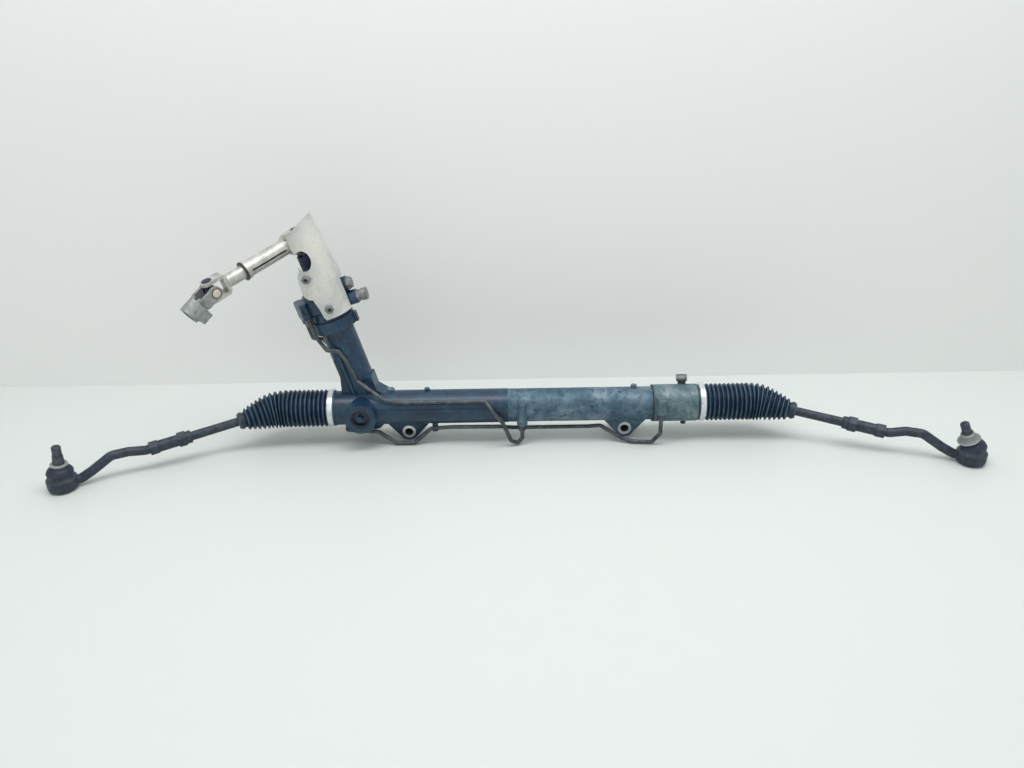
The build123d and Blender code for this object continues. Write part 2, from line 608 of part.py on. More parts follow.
with BuildPart() as valve_housing:
    with BuildSketch(TOWER_PROFILE):
        with BuildLine():
            Polyline((0, TOWER_TOP), (LIP_R, TOWER_TOP), (LIP_R, BLOCK_FOOT), (VALVE_R, BLOCK_FOOT + 4),
                     (VALVE_R, SLEEVE_TOP - 4), (VALVE_R - 8, SLEEVE_TOP + 5), (SEAL_R + 4, SLEEVE_TOP + 7),
                     (SEAL_R + 4, VALVE_TOP), (0, VALVE_TOP), close=True)
        make_face()
    revolve(axis=TOWER_LINE)
    # lug for the shield's upper bolt, standing on the body's front
    with BuildSketch(TOWER.offset(SLEEVE_TOP - 12)):
        with Locations(Location((0, 0, 0), (0, 0, LUG_ANGLE))):
            with Locations((LUG_R - 4, 0)):
                Rectangle(8, 15)
    extrude(amount=LUG_TOP - SLEEVE_TOP + 12)
    # bosses of the two fittings on the inner side and the line block on the outer side
    for height, face, radius in FITTINGS.values():
        centre = tower_point(0, FITTING_BACK, height)
        with BuildSketch(Plane(origin=centre, x_dir=(0, 1, 0), z_dir=TOWER_SIDE)):
            Circle(radius)
        extrude(amount=face)
    with BuildSketch(TOWER.offset(BLOCK_FOOT)):
        with Locations(FRONT_NUT, REAR_NUT):
            Circle(NUT_R + BLOCK_WALL)
        with Locations((-VALVE_R + 8, -14)):
            Circle(9)
        make_hull()
    extrude(amount=BLOCK_TALL)
    with BuildSketch(TOWER_PROFILE.offset(-FRONT_NUT[1] + NUT_R + BLOCK_WALL - 2)):
        with Locations((FRONT_NUT[0] + 1, BLOCK_FOOT + BLOCK_TALL * 0.6)):
            Ellipse(3, 5)
    extrude(amount=10, mode=Mode.SUBTRACT)
    with BuildSketch(TOWER_PROFILE):
        around(0, VALVE_BORE_R, TOWER_TOP - 1, SLEEVE_TOP + 0.5)
        around(0, INPUT_R + RUN, TOWER_TOP, VALVE_TOP + 1)
        around(0, SEAL_R, VALVE_TOP - 8, VALVE_TOP + 1)
    revolve(axis=TOWER_LINE, mode=Mode.SUBTRACT)
    for turn, height in SHIELD_BOLTS:
        facing = TOWER_SIDE * cos(radians(turn)) + Vector(0, sin(radians(turn)), 0)
        with BuildSketch(Plane(origin=tower_point(0, 0, height) + facing * THREAD_R, z_dir=facing)):
            Circle(SCREW_R)
        extrude(amount=VALVE_R, mode=Mode.SUBTRACT)
save(valve_housing.part, "valve_housing")

with BuildPart() as input_seal:
    with BuildSketch(TOWER_PROFILE):
        around(INPUT_R + RUN, SEAL_R, VALVE_TOP - 8, VALVE_TOP)
        around(INPUT_R + 2.5, SEAL_R - 1.5, VALVE_TOP - 4, VALVE_TOP + 1)
    revolve(axis=TOWER_LINE)
    with BuildSketch(TOWER_PROFILE):
        around(INPUT_R + 2.5, SEAL_R - 1.5, VALVE_TOP - 4, VALVE_TOP + 2)
    revolve(axis=TOWER_LINE, mode=Mode.SUBTRACT)
save(input_seal.part, "input_seal")

with BuildPart() as hose_fittings:
    for height, reach, radius in FITTINGS.values():
        face = Plane(origin=tower_point(reach, FITTING_BACK, height), x_dir=(0, 1, 0), z_dir=TOWER_SIDE)
        with BuildSketch(face):
            RegularPolygon(radius - 1.5, 6)
        extrude(amount=4)
        with BuildSketch(face.offset(4)):
            Circle(radius - 3)
        extrude(amount=3)
    # collar that the return hose is pushed over
    with BuildSketch(face.offset(7)):
        Circle(radius - 1.5)
    extrude(amount=8)
save(hose_fittings.part, "hose_fittings")

# ---------------------------------------------------------------- heat shield
SHIELD_LOW_R = VALVE_R + SHIELD_GAP              # inside of the sheet at the foot
SHIELD_HIGH_R = SHIELD_LOW_R - 10.0              # inside at the top
SHIELD_START, SHIELD_END = -123.0, 24.0          # angles that the sheet covers
STRAIGHT_TO = 206.0
SHIELD_CREST = 298.0            # tip of the cut outline on the inner side
SHIELD_EDGE = -10.3             # its upper outer edge, beside the shaft
WINDOW = (0.8, 242.5)           # opening in front of the clamp
WINDOW_HALF = (11.0, 14.5)
LOBE = (-18.0, 199.0)           # lower outer corner round the upper bolt

def shield_radius(height):
    """Inside radius of the sheet at a height along the tower."""
    rise = max(0.0, height - STRAIGHT_TO) / (SHIELD_TOP - STRAIGHT_TO)
    return SHIELD_LOW_R + (SHIELD_HIGH_R - SHIELD_LOW_R) * rise


with BuildPart() as heat_shield:
    start_plane = Plane(origin=TOWER_FOOT, x_dir=TOWER_SIDE, z_dir=(0, -1, 0))
    with BuildSketch(start_plane):
        with BuildLine():
            Polyline((SHIELD_LOW_R, SHIELD_FOOT), (SHIELD_LOW_R + SHIELD_SHEET, SHIELD_FOOT),
                     (SHIELD_LOW_R + SHIELD_SHEET, STRAIGHT_TO),
                     (SHIELD_HIGH_R + SHIELD_SHEET, SHIELD_TOP), (SHIELD_HIGH_R, SHIELD_TOP),
                     (SHIELD_LOW_R, STRAIGHT_TO), close=True)
        make_face()
    revolve(axis=TOWER_LINE)
    # keep the covered angles and the slanting outline seen from the front
    with BuildSketch(TOWER.offset(SHIELD_FOOT - 1)):
        with BuildLine():
            reach = 60
            corners = [(0, 0)]
            for turn in (SHIELD_START, -70, -20, SHIELD_END):
                corners.append((reach * cos(radians(turn)), reach * sin(radians(turn))))
            Polyline(*corners, close=True)
        make_face()
    extrude(amount=SHIELD_TOP, mode=Mode.INTERSECT)
    with BuildSketch(TOWER_PROFILE.offset(60)):
        with BuildLine():
            Polyline((LOBE[0] + 2, LOBE[1] + 18), LOBE)
            ThreePointArc(LOBE, (LOBE[0] + 3.5, LOBE[1] - 8), (LOBE[0] + 12, LOBE[1] - 12))
            Polyline((LOBE[0] + 12, LOBE[1] - 12), (-2.3, SHIELD_FOOT + 19), (-0.6, SHIELD_FOOT + 4.5),
                     (2, SHIELD_FOOT), (60, SHIELD_FOOT), (60, SHIELD_CREST), (24.5, SHIELD_CREST),
                     (18, SHIELD_CREST - 3), (6.8, SHIELD_CREST - 8.5), (-3.8, SHIELD_CREST - 15.2),
                     (SHIELD_EDGE, SHIELD_CREST - 17), (SHIELD_EDGE, SHIELD_CREST - 35),
                     (SHIELD_EDGE + 3, WINDOW[1] + WINDOW_HALF[1]),
                     (WINDOW[0] - WINDOW_HALF[0] + 0.5, WINDOW[1] - WINDOW_HALF[1] + 2))
            ThreePointArc((WINDOW[0] - WINDOW_HALF[0] + 0.5, WINDOW[1] - WINDOW_HALF[1] + 2),
                          (LOBE[0] + 3.6, LOBE[1] + 25.5), (LOBE[0] + 2, LOBE[1] + 18))
        make_face()
    extrude(amount=-120, mode=Mode.INTERSECT)
    with BuildSketch(TOWER_PROFILE.offset(60)):
        with Locations(WINDOW):
            Ellipse(*WINDOW_HALF)
    extrude(amount=-60, mode=Mode.SUBTRACT)
    # notch that lets the fittings out
    with BuildSketch(Plane(origin=tower_point(0, FITTING_BACK, 0), x_dir=(0, 1, 0), z_dir=TOWER_SIDE)):
        with Locations((5, 168)):
            Rectangle(36, 66)
    extrude(amount=60, mode=Mode.SUBTRACT)
    for turn, height in SHIELD_BOLTS:
        spot = tower_point(0, 0, height)
        facing = TOWER_SIDE * cos(radians(turn)) + Vector(0, sin(radians(turn)), 0)
        with BuildSketch(Plane(origin=spot, x_dir=TOWER_DIR, z_dir=facing)):
            Circle(3.3)
        extrude(amount=60, mode=Mode.SUBTRACT)
save(heat_shield.part, "heat_shield")

with BuildPart() as shield_bolts:
    for turn, height in SHIELD_BOLTS:
        facing = TOWER_SIDE * cos(radians(turn)) + Vector(0, sin(radians(turn)), 0)
        base = tower_point(0, 0, height) + facing * (shield_radius(height - WASHER_R) + SHIELD_SHEET + 0.1)
        with BuildSketch(Plane(origin=base, x_dir=TOWER_DIR, z_dir=facing)):
            Circle(WASHER_R)
        extrude(amount=1.2)
        with BuildSketch(Plane(origin=base, x_dir=TOWER_DIR, z_dir=facing).offset(1.2)):
            RegularPolygon(5.7, 6)
        extrude(amount=4)
        bottom = tower_point(0, 0, height) + facing * THREAD_R
        with BuildSketch(Plane(origin=bottom, x_dir=TOWER_DIR, z_dir=facing)):
            Circle(SCREW_R)
        extrude(amount=shield_radius(height - WASHER_R) + SHIELD_SHEET + 1 - THREAD_R)
save(shield_bolts.part, "shield_bolts")


# ---------------------------------------------------------------- hydraulic lines
def line(points, bends):
    """Round line along straight runs joined by arcs."""
    with BuildPart() as tube:
        with BuildLine() as route:
            FilletPolyline(*points, radius=bends)
        start = route.line @ 0
        with BuildSketch(Plane(origin=start, z_dir=route.line % 0)):
            Circle(LINE_R)
        sweep()
    return tube.part


LINE_ON_TOWER = -TOWER_R - LINE_R - 0.6
LINE_ON_BARREL = BARREL_R + LINE_R + 2.2
LINE_LOW = GROUND + LINE_R + 0.6

inner_nut = Vector(PORT_X["inner"], PORT_FRONT["inner"], PORT_FOOT["inner"])
outer_nut = Vector(PORT_X["outer"], PORT_FRONT["outer"], PORT_FOOT["outer"])

front_route = [
    tower_point(*FRONT_NUT, BLOCK_FOOT - NUT_LENGTH), tower_point(*FRONT_NUT, BLOCK_FOOT - 28),
    tower_point(-18, LINE_ON_TOWER - 1, 108), tower_point(-3, LINE_ON_TOWER, 102),
    tower_point(2, LINE_ON_TOWER, 84), tower_point(5, LINE_ON_TOWER, 50),
    on_rack(PINION_X + 30, LINE_ON_BARREL + 4, 44), on_rack(PINION_X + 52, LINE_ON_BARREL, 38),
    on_rack(SEAM_X - 33, LINE_ON_BARREL, 38), on_rack(SEAM_X - 22, LINE_ON_BARREL + 3, 10),
    on_rack(SEAM_X - 8, LINE_ON_BARREL + 4, -22),
    Vector(SEAM_X + 4, inner_nut.Y - 6, -4), Vector(inner_nut.X - 7, inner_nut.Y - 3, LINE_LOW + 1),
    inner_nut - Vector(0, 0, NUT_LENGTH + 14), inner_nut - Vector(0, 0, NUT_LENGTH),
]
front_line = line(front_route, 4)
save(front_line, "front_line")

BEHIND = RACK_BACK + BARREL_R + LINE_R + 4
BESIDE = PINION_X - 31
UNDER = RACK_LIFT - BARREL_R - LINE_R - 5
LEFT_EAR, RIGHT_EAR = -BOLT_SPACING / 2, BOLT_SPACING / 2
rear_route = [
    tower_point(*REAR_NUT, BLOCK_FOOT - NUT_LENGTH), tower_point(*REAR_NUT, BLOCK_FOOT - 35),
    tower_point(-30, 14, 112), tower_point(-25, 18, 92),
    Vector(BESIDE, BEHIND, RACK_LIFT + 24), Vector(BESIDE, BEHIND, UNDER + 4),
    Vector(BESIDE, RACK_BACK - 8, UNDER), Vector(PINION_X - 3, -9, UNDER),
    Vector(PINION_X + 18, -11, UNDER - 1), Vector(LEFT_EAR - 18, -16, LINE_LOW),
    Vector(LEFT_EAR + 9, -16, LINE_LOW), Vector(LEFT_EAR + 35, -13, UNDER + 4.5),
    Vector(LEFT_EAR + 67, -14, UNDER + 7), Vector(SEAM_X - 13, -15, UNDER + 7),
    Vector(SEAM_X + 9, 0, UNDER - 3), Vector(SEAM_X + 73, 2, UNDER - 4),
    Vector(RIGHT_EAR - 56, 0, UNDER - 3), Vector(RIGHT_EAR - 38, -9, UNDER + 3),
    Vector(RIGHT_EAR - 6, -18, -7), Vector(RIGHT_EAR + 10, -23, LINE_LOW),
    Vector(RIGHT_EAR + 38, -25, LINE_LOW), outer_nut - Vector(0, 0, NUT_LENGTH + 24),
    outer_nut - Vector(0, 0, NUT_LENGTH),
]
rear_line = line(rear_route, 5)
save(rear_line, "rear_line")

with BuildPart() as line_nuts:
    for spot in (FRONT_NUT, REAR_NUT):
        with BuildSketch(TOWER.offset(BLOCK_FOOT - NUT_LENGTH)):
            with Locations(spot):
                RegularPolygon(NUT_R, 6)
        extrude(amount=NUT_LENGTH)
    for spot in (inner_nut, outer_nut):
        with BuildSketch(Plane.XY.offset(spot.Z - NUT_LENGTH)):
            with Locations((spot.X, spot.Y)):
                RegularPolygon(NUT_R, 6)
        extrude(amount=NUT_LENGTH)
save(line_nuts.part, "line_nuts")

# ---------------------------------------------------------------- small fittings on the casting
CLIP_X = -122.0
CLIP_WIDTH = 8.0
CLIP_LINE = (-13.2 - RACK_BACK, UNDER + 5.0 - RACK_LIFT)     # centre of the line under the clip
CLIP_FOOT = 3.0                 # pad between the casting and the clip's band
with BuildPart() as line_clip:
    with BuildSketch(RACK_SECTION.offset(CLIP_X - CLIP_WIDTH / 2)):
        with Locations(CLIP_LINE):
            Circle(LINE_R + 2)
            Circle(LINE_R + 0.7, mode=Mode.SUBTRACT)
        with Locations(Location((0, 0, 0), (0, 0, degrees(atan2(CLIP_LINE[1], CLIP_LINE[0]))))):
            with Locations((BARREL_R + 0.1 + CLIP_FOOT / 2, 0)):
                Rectangle(CLIP_FOOT, 12)
        with Locations(CLIP_LINE):
            Circle(LINE_R + 0.7, mode=Mode.SUBTRACT)
    extrude(amount=CLIP_WIDTH)
save(line_clip.part, "line_clip")

VENT_X = 248.0
with BuildPart() as vent_plugs:
    vent_up = Vector(0, sin(radians(25)), cos(radians(25)))
    vent_base = Vector(VENT_X, RACK_BACK, RACK_LIFT) + vent_up * (SLEEVE_R - 1)
    with BuildSketch(Plane(origin=vent_base, x_dir=(1, 0, 0), z_dir=vent_up)):
        Circle(6)
    extrude(amount=5)
    with BuildSketch(Plane(origin=vent_base, x_dir=(1, 0, 0), z_dir=vent_up).offset(5)):
        Circle(8)
    extrude(amount=10)
    with BuildSketch(Plane.XY.offset(RACK_LIFT - SLEEVE_R + 1)):
        with Locations((VENT_X + 3, RACK_BACK - 4)):
            RegularPolygon(4, 6)
    extrude(amount=-6)
    with BuildSketch(RACK_PROFILE):
        along(VENT_X - 20, VENT_X + 20, 0, SLEEVE_R)
    revolve(axis=RACK_LINE, mode=Mode.SUBTRACT)
save(vent_plugs.part, "vent_plugs")

CASTING_PLUGS = ((PINION_X + 38.0, 6.0), (PINION_X + 92.3, 4.0), (SLEEVE_X - 28.0, 4.5))     # place and size
with BuildPart() as casting_plugs:
    for x, radius in CASTING_PLUGS:
        with BuildSketch(Plane.XY.offset(RACK_LIFT + TUBE_R - 2)):
            with Locations((x, RACK_BACK + 3)):
                RegularPolygon(radius, 6)
        extrude(amount=6.3)
    with BuildSketch(RACK_PROFILE):
        along(-MOUTH_X, SEAM_X, 0, BARREL_R)
        along(SEAM_X, MOUTH_X, 0, TUBE_R)
    revolve(axis=RACK_LINE, mode=Mode.SUBTRACT)
save(casting_plugs.part, "casting_plugs")

# ---------------------------------------------------------------- boots and their clamps
CUFF_R = SEAT_R + BOOT_WALL
BOOT_START = MOUTH_X - SEAT_LENGTH + 1
CUFF_LENGTH = SEAT_LENGTH - 0.8
SMALL_CUFF_R = ROD_R + 5
SMALL_CUFF = 10.0
TAPER_FOLDS = 7

rod_dir = {}
pivot = {}
for side, sign in SIDES.items():
    yaw, fall = radians(ROD_YAW[side]), radians(ROD_FALL[side])
    rod_dir[side] = Vector(sign * cos(fall) * cos(yaw), -cos(fall) * sin(yaw), -sin(fall))
    pivot[side] = Vector(sign * PIVOT_X, RACK_BACK, RACK_LIFT)


def taper(fold, wide, narrow):
    """Radius of a fold, narrowing over the last few towards the rod."""
    share = max(0.0, (fold - (BOOT_FOLDS - TAPER_FOLDS)) / TAPER_FOLDS)
    return wide + (narrow - wide) * share ** 1.3


for side, sign in SIDES.items():
    with BuildLine() as boot_path:
        FilletPolyline((sign * BOOT_START, RACK_BACK, RACK_LIFT), pivot[side] + Vector(sign * 5, 0, 0),
                       pivot[side] + rod_dir[side] * (BOOT_END - SMALL_CUFF - 4),
                       pivot[side] + rod_dir[side] * BOOT_END, radius=(BOOT_BEND_R, 20))
    path = boot_path.wire()
    reach = path.length
    fold_pitch = (reach - CUFF_LENGTH - SMALL_CUFF) / BOOT_FOLDS
    outer = [(0, CUFF_R), (CUFF_LENGTH, CUFF_R)]
    inner = [(-1, SEAT_R), (CUFF_LENGTH - 0.1, SEAT_R), (CUFF_LENGTH + 0.1, BOOT_VALLEY_R - BOOT_WALL)]
    for fold in range(BOOT_FOLDS):
        start = CUFF_LENGTH + fold * fold_pitch
        valley = taper(fold, BOOT_VALLEY_R, SMALL_CUFF_R)
        crest = taper(fold + 0.5, BOOT_CREST_R, SMALL_CUFF_R + 5)
        outer.append((start + 0.1 * fold_pitch, valley))
        outer.append((start + 0.6 * fold_pitch, crest))
        if fold >= BOOT_FOLDS - TAPER_FOLDS:
            inner.append((start + 0.1 * fold_pitch, min(valley, BOOT_VALLEY_R) - BOOT_WALL))
    outer += [(reach - SMALL_CUFF + 1, SMALL_CUFF_R), (reach, SMALL_CUFF_R)]
    inner += [(reach - SMALL_CUFF, ROD_R + GAP + 1), (reach + 1, ROD_R + GAP)]
    with BuildPart() as boot:
        for station, radius in outer:
            share = station / reach
            with BuildSketch(Plane(origin=path @ share, x_dir=(0, 0, 1), z_dir=path % share)):
                Circle(radius)
        loft(ruled=True)
        for station, radius in inner:
            share = min(max(station / reach, 0), 1)
            heading = path % share
            spot = path @ share + heading * (station - share * reach)
            with BuildSketch(Plane(origin=spot, x_dir=(0, 0, 1), z_dir=heading)):
                Circle(radius)
        loft(ruled=True, mode=Mode.SUBTRACT)
    save(boot.part, f"boot_{side}")
    with BuildPart() as small_clamp:
        mid = pivot[side] + rod_dir[side] * (BOOT_END - SMALL_CUFF / 2 - 2)
        with BuildSketch(Plane(origin=mid, x_dir=(0, 0, 1), z_dir=rod_dir[side])):
            Circle(SMALL_CUFF_R + GAP + CLAMP_THICK)
            with Locations((0, -SMALL_CUFF_R - GAP - 1.5)):
                Rectangle(4, 4)
            Circle(SMALL_CUFF_R + GAP, mode=Mode.SUBTRACT)
        extrude(amount=4.5)
    save(small_clamp.part, f"small_clamp_{side}")

with BuildPart() as boot_clamps:
    for sign in SIDES.values():
        clamp_x = sign * (MOUTH_X - SEAT_LENGTH / 2 + 1)
        with BuildSketch(RACK_SECTION.offset(clamp_x - CLAMP_WIDTH / 2)):
            Circle(CUFF_R + CLAMP_THICK)
            with Locations(Location((0, 0, 0), (0, 0, 60))):
                with Locations((CUFF_R + 1.5, 0)):
                    Rectangle(3.5, 7)
            Circle(CUFF_R + RUN, mode=Mode.SUBTRACT)
        extrude(amount=CLAMP_WIDTH)
save(boot_clamps.part, "boot_clamps")

# ---------------------------------------------------------------- inner ball joints and tie rods
SEAT_OUT_R = BALL_R + LINER
LIP_OUT = (SEAT_OUT_R + RUN) * cos(radians(MOUTH_ANGLE))
SEAT_EDGE = cos(radians(80))
ROD_IN_END = 32.0

for side, sign in SIDES.items():
    with BuildPart() as inner_socket:
        with BuildSketch(RACK_PROFILE):
            with BuildLine():
                Polyline((sign * RACK_END, 0), (sign * RACK_END, SOCKET_R - 3),
                         (sign * (RACK_END + 3), SOCKET_R), (sign * (PIVOT_X + LIP_OUT - 1), SOCKET_R),
                         (sign * (PIVOT_X + LIP_OUT), SOCKET_R - 1), (sign * (PIVOT_X + LIP_OUT), 0),
                         close=True)
            make_face()
        revolve(axis=RACK_LINE)
        with Locations(pivot[side]):
            Sphere(SEAT_OUT_R + RUN, rotation=(0, 0, 90), mode=Mode.SUBTRACT)
    save(inner_socket.part, f"inner_socket_{side}")

    with BuildPart() as inner_seat:
        with Locations(pivot[side]):
            Sphere(SEAT_OUT_R, rotation=(0, 0, 90))
            Sphere(BALL_R + RUN, rotation=(0, 0, 90), mode=Mode.SUBTRACT)
        with BuildSketch(RACK_SECTION.offset(sign * (PIVOT_X + SEAT_OUT_R * SEAT_EDGE))):
            Rectangle(3 * BALL_R, 3 * BALL_R)
        extrude(amount=sign * 2 * BALL_R, mode=Mode.SUBTRACT)
    save(inner_seat.part, f"inner_seat_{side}")

    rod_plane = Plane(origin=pivot[side], x_dir=(0, 0, 1), z_dir=rod_dir[side])
    with BuildPart() as tie_rod:
        with Locations(pivot[side]):
            Sphere(BALL_R, rotation=(0, 0, 90))
        with BuildSketch(rod_plane):
            Circle(NECK_R)
        extrude(amount=ROD_THREAD + ROD_IN_END)
    save(tie_rod.part, f"tie_rod_{side}")

    with BuildPart() as lock_nut:
        with BuildSketch(rod_plane.offset(ROD_THREAD - 11)):
            RegularPolygon(HEX_FLAT / sqrt(3), 6)
        extrude(amount=11)
        with BuildSketch(rod_plane.offset(ROD_THREAD - 19)):
            Circle(HEX_FLAT / 2 - 1.2)
        extrude(amount=8)
        with BuildSketch(rod_plane.offset(ROD_THREAD - 20)):
            Circle(ROD_R + RUN)
        extrude(amount=21, mode=Mode.SUBTRACT)
    save(lock_nut.part, f"lock_nut_{side}")

    # rod end: threaded body, hexagon, goose-necked arm and ball socket
    flat_dir = Vector(sign * cos(radians(ROD_YAW[side])), -sin(radians(ROD_YAW[side])), 0)
    root = Vector(pivot[side].X, pivot[side].Y, 0)
    ball = root + flat_dir * (ROD_THREAD + END_REACH[side]) + Vector(0, 0, GROUND + STUD_BALL_LIFT)
    arm_start = pivot[side] + rod_dir[side] * (ROD_THREAD + END_BODY)
    socket_reach = ROD_THREAD + END_REACH[side]
    arm_stations = ((-90.9, ARM_CREST), (-67.9, ARM_CREST - 0.5), (-39.9, ARM_FOOT + 8), (-23.9, ARM_FOOT))
    arm_points = [arm_start, arm_start + rod_dir[side] * 6]
    for far, high in arm_stations:
        arm_points.append(root + flat_dir * (socket_reach + far) + Vector(0, 0, GROUND + high))
    arm_points.append(root + flat_dir * (socket_reach - 12) + Vector(0, 0, GROUND + ARM_FOOT))
    with BuildPart() as rod_end:
        with BuildLine() as arm_path:
            FilletPolyline(*arm_points, radius=16)
        with BuildSketch(Plane(origin=arm_start, z_dir=rod_dir[side])):
            Circle(ARM_R)
        sweep()
        with BuildSketch(rod_plane.offset(ROD_THREAD)):
            Circle(END_BODY_R)
        extrude(amount=END_BODY - 10)
        with BuildSketch(rod_plane.offset(ROD_THREAD + END_BODY - 12)):
            RegularPolygon(END_BODY_R + 2.5, 6)
        extrude(amount=12)
        with BuildSketch(Plane(origin=(ball.X, ball.Y, GROUND), x_dir=(1, 0, 0), z_dir=(0, -1, 0))):
            with BuildLine():
                Polyline((0, 0), (END_SOCKET_R - 5, 0), (END_SOCKET_R - 1, 3), (END_SOCKET_R, 7),
                         (END_SOCKET_R, 17), (END_SOCKET_R - 3, 21), (END_SOCKET_R - 3, 25.5), (0, 25.5),
                         close=True)
            make_face()
        revolve(axis=Axis((ball.X, ball.Y, 0), (0, 0, 1)))
        with BuildSketch(rod_plane.offset(ROD_THREAD - 1)):
            Circle(ROD_R + RUN)
        extrude(amount=ROD_IN_END + 1.5, mode=Mode.SUBTRACT)
        with Locations(ball):
            Sphere(STUD_BALL_R + LINER + RUN, rotation=(0, 0, 90), mode=Mode.SUBTRACT)
        mouth_low = (STUD_BALL_R + LINER + RUN) * cos(radians(MOUTH_ANGLE))
        mouth_r = (STUD_BALL_R + LINER + RUN) * sin(radians(MOUTH_ANGLE))
        with BuildSketch(Plane.XY.offset(ball.Z + mouth_low)):
            with Locations((ball.X, ball.Y)):
                Circle(mouth_r)
        extrude(amount=5, taper=-MOUTH_ANGLE + 20, mode=Mode.SUBTRACT)
    save(rod_end.part, f"rod_end_{side}")

    with BuildPart() as outer_seat:
        with Locations(ball):
            Sphere(STUD_BALL_R + LINER, rotation=(0, 0, 90))
            Sphere(STUD_BALL_R + RUN, rotation=(0, 0, 90), mode=Mode.SUBTRACT)
        with BuildSketch(Plane.XY.offset(ball.Z + (STUD_BALL_R + LINER) * SEAT_EDGE)):
            with Locations((ball.X, ball.Y)):
                Rectangle(3 * STUD_BALL_R, 3 * STUD_BALL_R)
        extrude(amount=2 * STUD_BALL_R, mode=Mode.SUBTRACT)
    save(outer_seat.part, f"outer_seat_{side}")

    lean = radians(STUD_LEAN[side])
    stud_dir = Vector(sin(lean), 0, cos(lean))
    stud_plane = Plane(origin=ball, x_dir=(0, 1, 0), z_dir=stud_dir)
    with BuildPart() as stud:
        with Locations(ball):
            Sphere(STUD_BALL_R, rotation=(0, 0, 90))
        with BuildSketch(stud_plane):
            Circle(STUD_NECK_R)
        extrude(amount=22)
        with BuildSketch(stud_plane.offset(21)):
            Circle(8.2)
        extrude(amount=15, taper=4.5)
        with BuildSketch(stud_plane.offset(36)):
            Circle(STUD_THREAD_R)
        extrude(amount=14)
        chamfer(stud.edges().filter_by(GeomType.CIRCLE).sort_by(Axis.Z)[-1], 1)
    save(stud.part, f"stud_{side}")

    with BuildPart() as dust_boot:
        for share, radius in ((0, 17.3), (0.25, 17.8), (0.55, 16.0), (0.8, 11.5), (1, 10.0)):
            turn = lean * share
            heading = Vector(sin(turn), 0, cos(turn))
            middle = ball + heading * (8.0 + 12 * share)
            with BuildSketch(Plane(origin=middle, x_dir=(0, 1, 0), z_dir=heading)):
                Circle(radius)
        loft()
        for share, radius in ((-0.02, 15.0), (0.25, 15.8), (0.55, 14.0), (0.8, 9.5), (1.05, 6.4)):
            turn = lean * max(0, min(1, share))
            heading = Vector(sin(turn), 0, cos(turn))
            middle = ball + heading * (8.0 + 12 * share)
            with BuildSketch(Plane(origin=middle, x_dir=(0, 1, 0), z_dir=heading)):
                Circle(radius)
        loft(mode=Mode.SUBTRACT)
    save(dust_boot.part, f"dust_boot_{side}")

# ---------------------------------------------------------------- intermediate shaft
FORK_BASE = 5.5
LOWER_DEPTH = 19.5
UPPER_DEPTH = 19.0
LOWER_HUB = 30.0
CLAMP_HUB = 25.0
RING_AT = 92.0

yaw, fall = radians(SHAFT_YAW), radians(SHAFT_FALL)
shaft_dir = Vector(-cos(fall) * cos(yaw), -cos(fall) * sin(yaw), -sin(fall))
joint_low = tower_point(0, 0, JOINT_HEIGHT)
joint_high = joint_low + shaft_dir * SHAFT_LENGTH
bend_low = TOWER_DIR.cross(shaft_dir).normalized()
pin_low = shaft_dir.cross(bend_low).normalized()
level = Vector(sin(yaw), -cos(yaw), 0)
pin_high = shaft_dir.cross(level).normalized()
fall = radians(CLAMP_FALL)
clamp_dir = Vector(-cos(fall) * cos(yaw), -cos(fall) * sin(yaw), -sin(fall))


def fork(place, depth, hub_r, hub_length):
    """Fork whose pin axis is the plane's x, with its hub along -z."""
    with BuildPart(place) as yoke:
        for end in (-1, 1):
            with Locations((end * (PIN_SPAN - EAR_THICK / 2), 0, 0)):
                Cylinder(FORK_EAR_R, EAR_THICK, rotation=(0, 90, 0))
            with Locations((end * (PIN_SPAN - EAR_THICK / 2), 0, -depth / 2)):
                Box(EAR_THICK, 1.8 * FORK_EAR_R, depth)
        with Locations((0, 0, -depth - FORK_BASE / 2)):
            Box(2 * PIN_SPAN, 1.8 * FORK_EAR_R, FORK_BASE)
        chamfer(yoke.edges().filter_by(Axis(place.origin, place.y_dir)).sort_by(
            Axis(place.origin, place.z_dir))[:2], 4.5)
        with Locations((0, 0, -depth - FORK_BASE - hub_length / 2 + 0.5)):
            Cylinder(hub_r, hub_length + 1)
        for end in (-1, 1):
            with Locations((end * PIN_SPAN, 0, 0)):
                Cylinder(CUP_R + RUN, 4 * EAR_THICK, rotation=(0, 90, 0), mode=Mode.SUBTRACT)
    return yoke.part


def spider(place, pins):
    """Cross with pins along the plane's x and along the given direction, and its four cups."""
    with BuildPart(place) as cross:
        Sphere(CROSS_R, rotation=(0, 0, 45))
    with BuildPart() as whole:
        add(cross.part)
        for direction in (place.x_dir, pins):
            with BuildSketch(Plane(origin=place.origin - direction * (PIN_SPAN - 2), z_dir=direction)):
                Circle(PIN_R)
            extrude(amount=2 * (PIN_SPAN - 2))
        for direction in (place.x_dir, pins):
            for end in (-1, 1):
                mouth = place.origin + direction * (end * (PIN_SPAN + 0.6))
                cup = Plane(origin=mouth, z_dir=direction * -end)
                with BuildSketch(cup):
                    Circle(CUP_R)
                extrude(amount=EAR_THICK + 2)
    return whole.part


PINCH_R = 3.8
PINCH_OUT = 14.5                # pinch bolt from the tower's axis
PINCH_HALF = 13.0               # half width of the clamp's lug

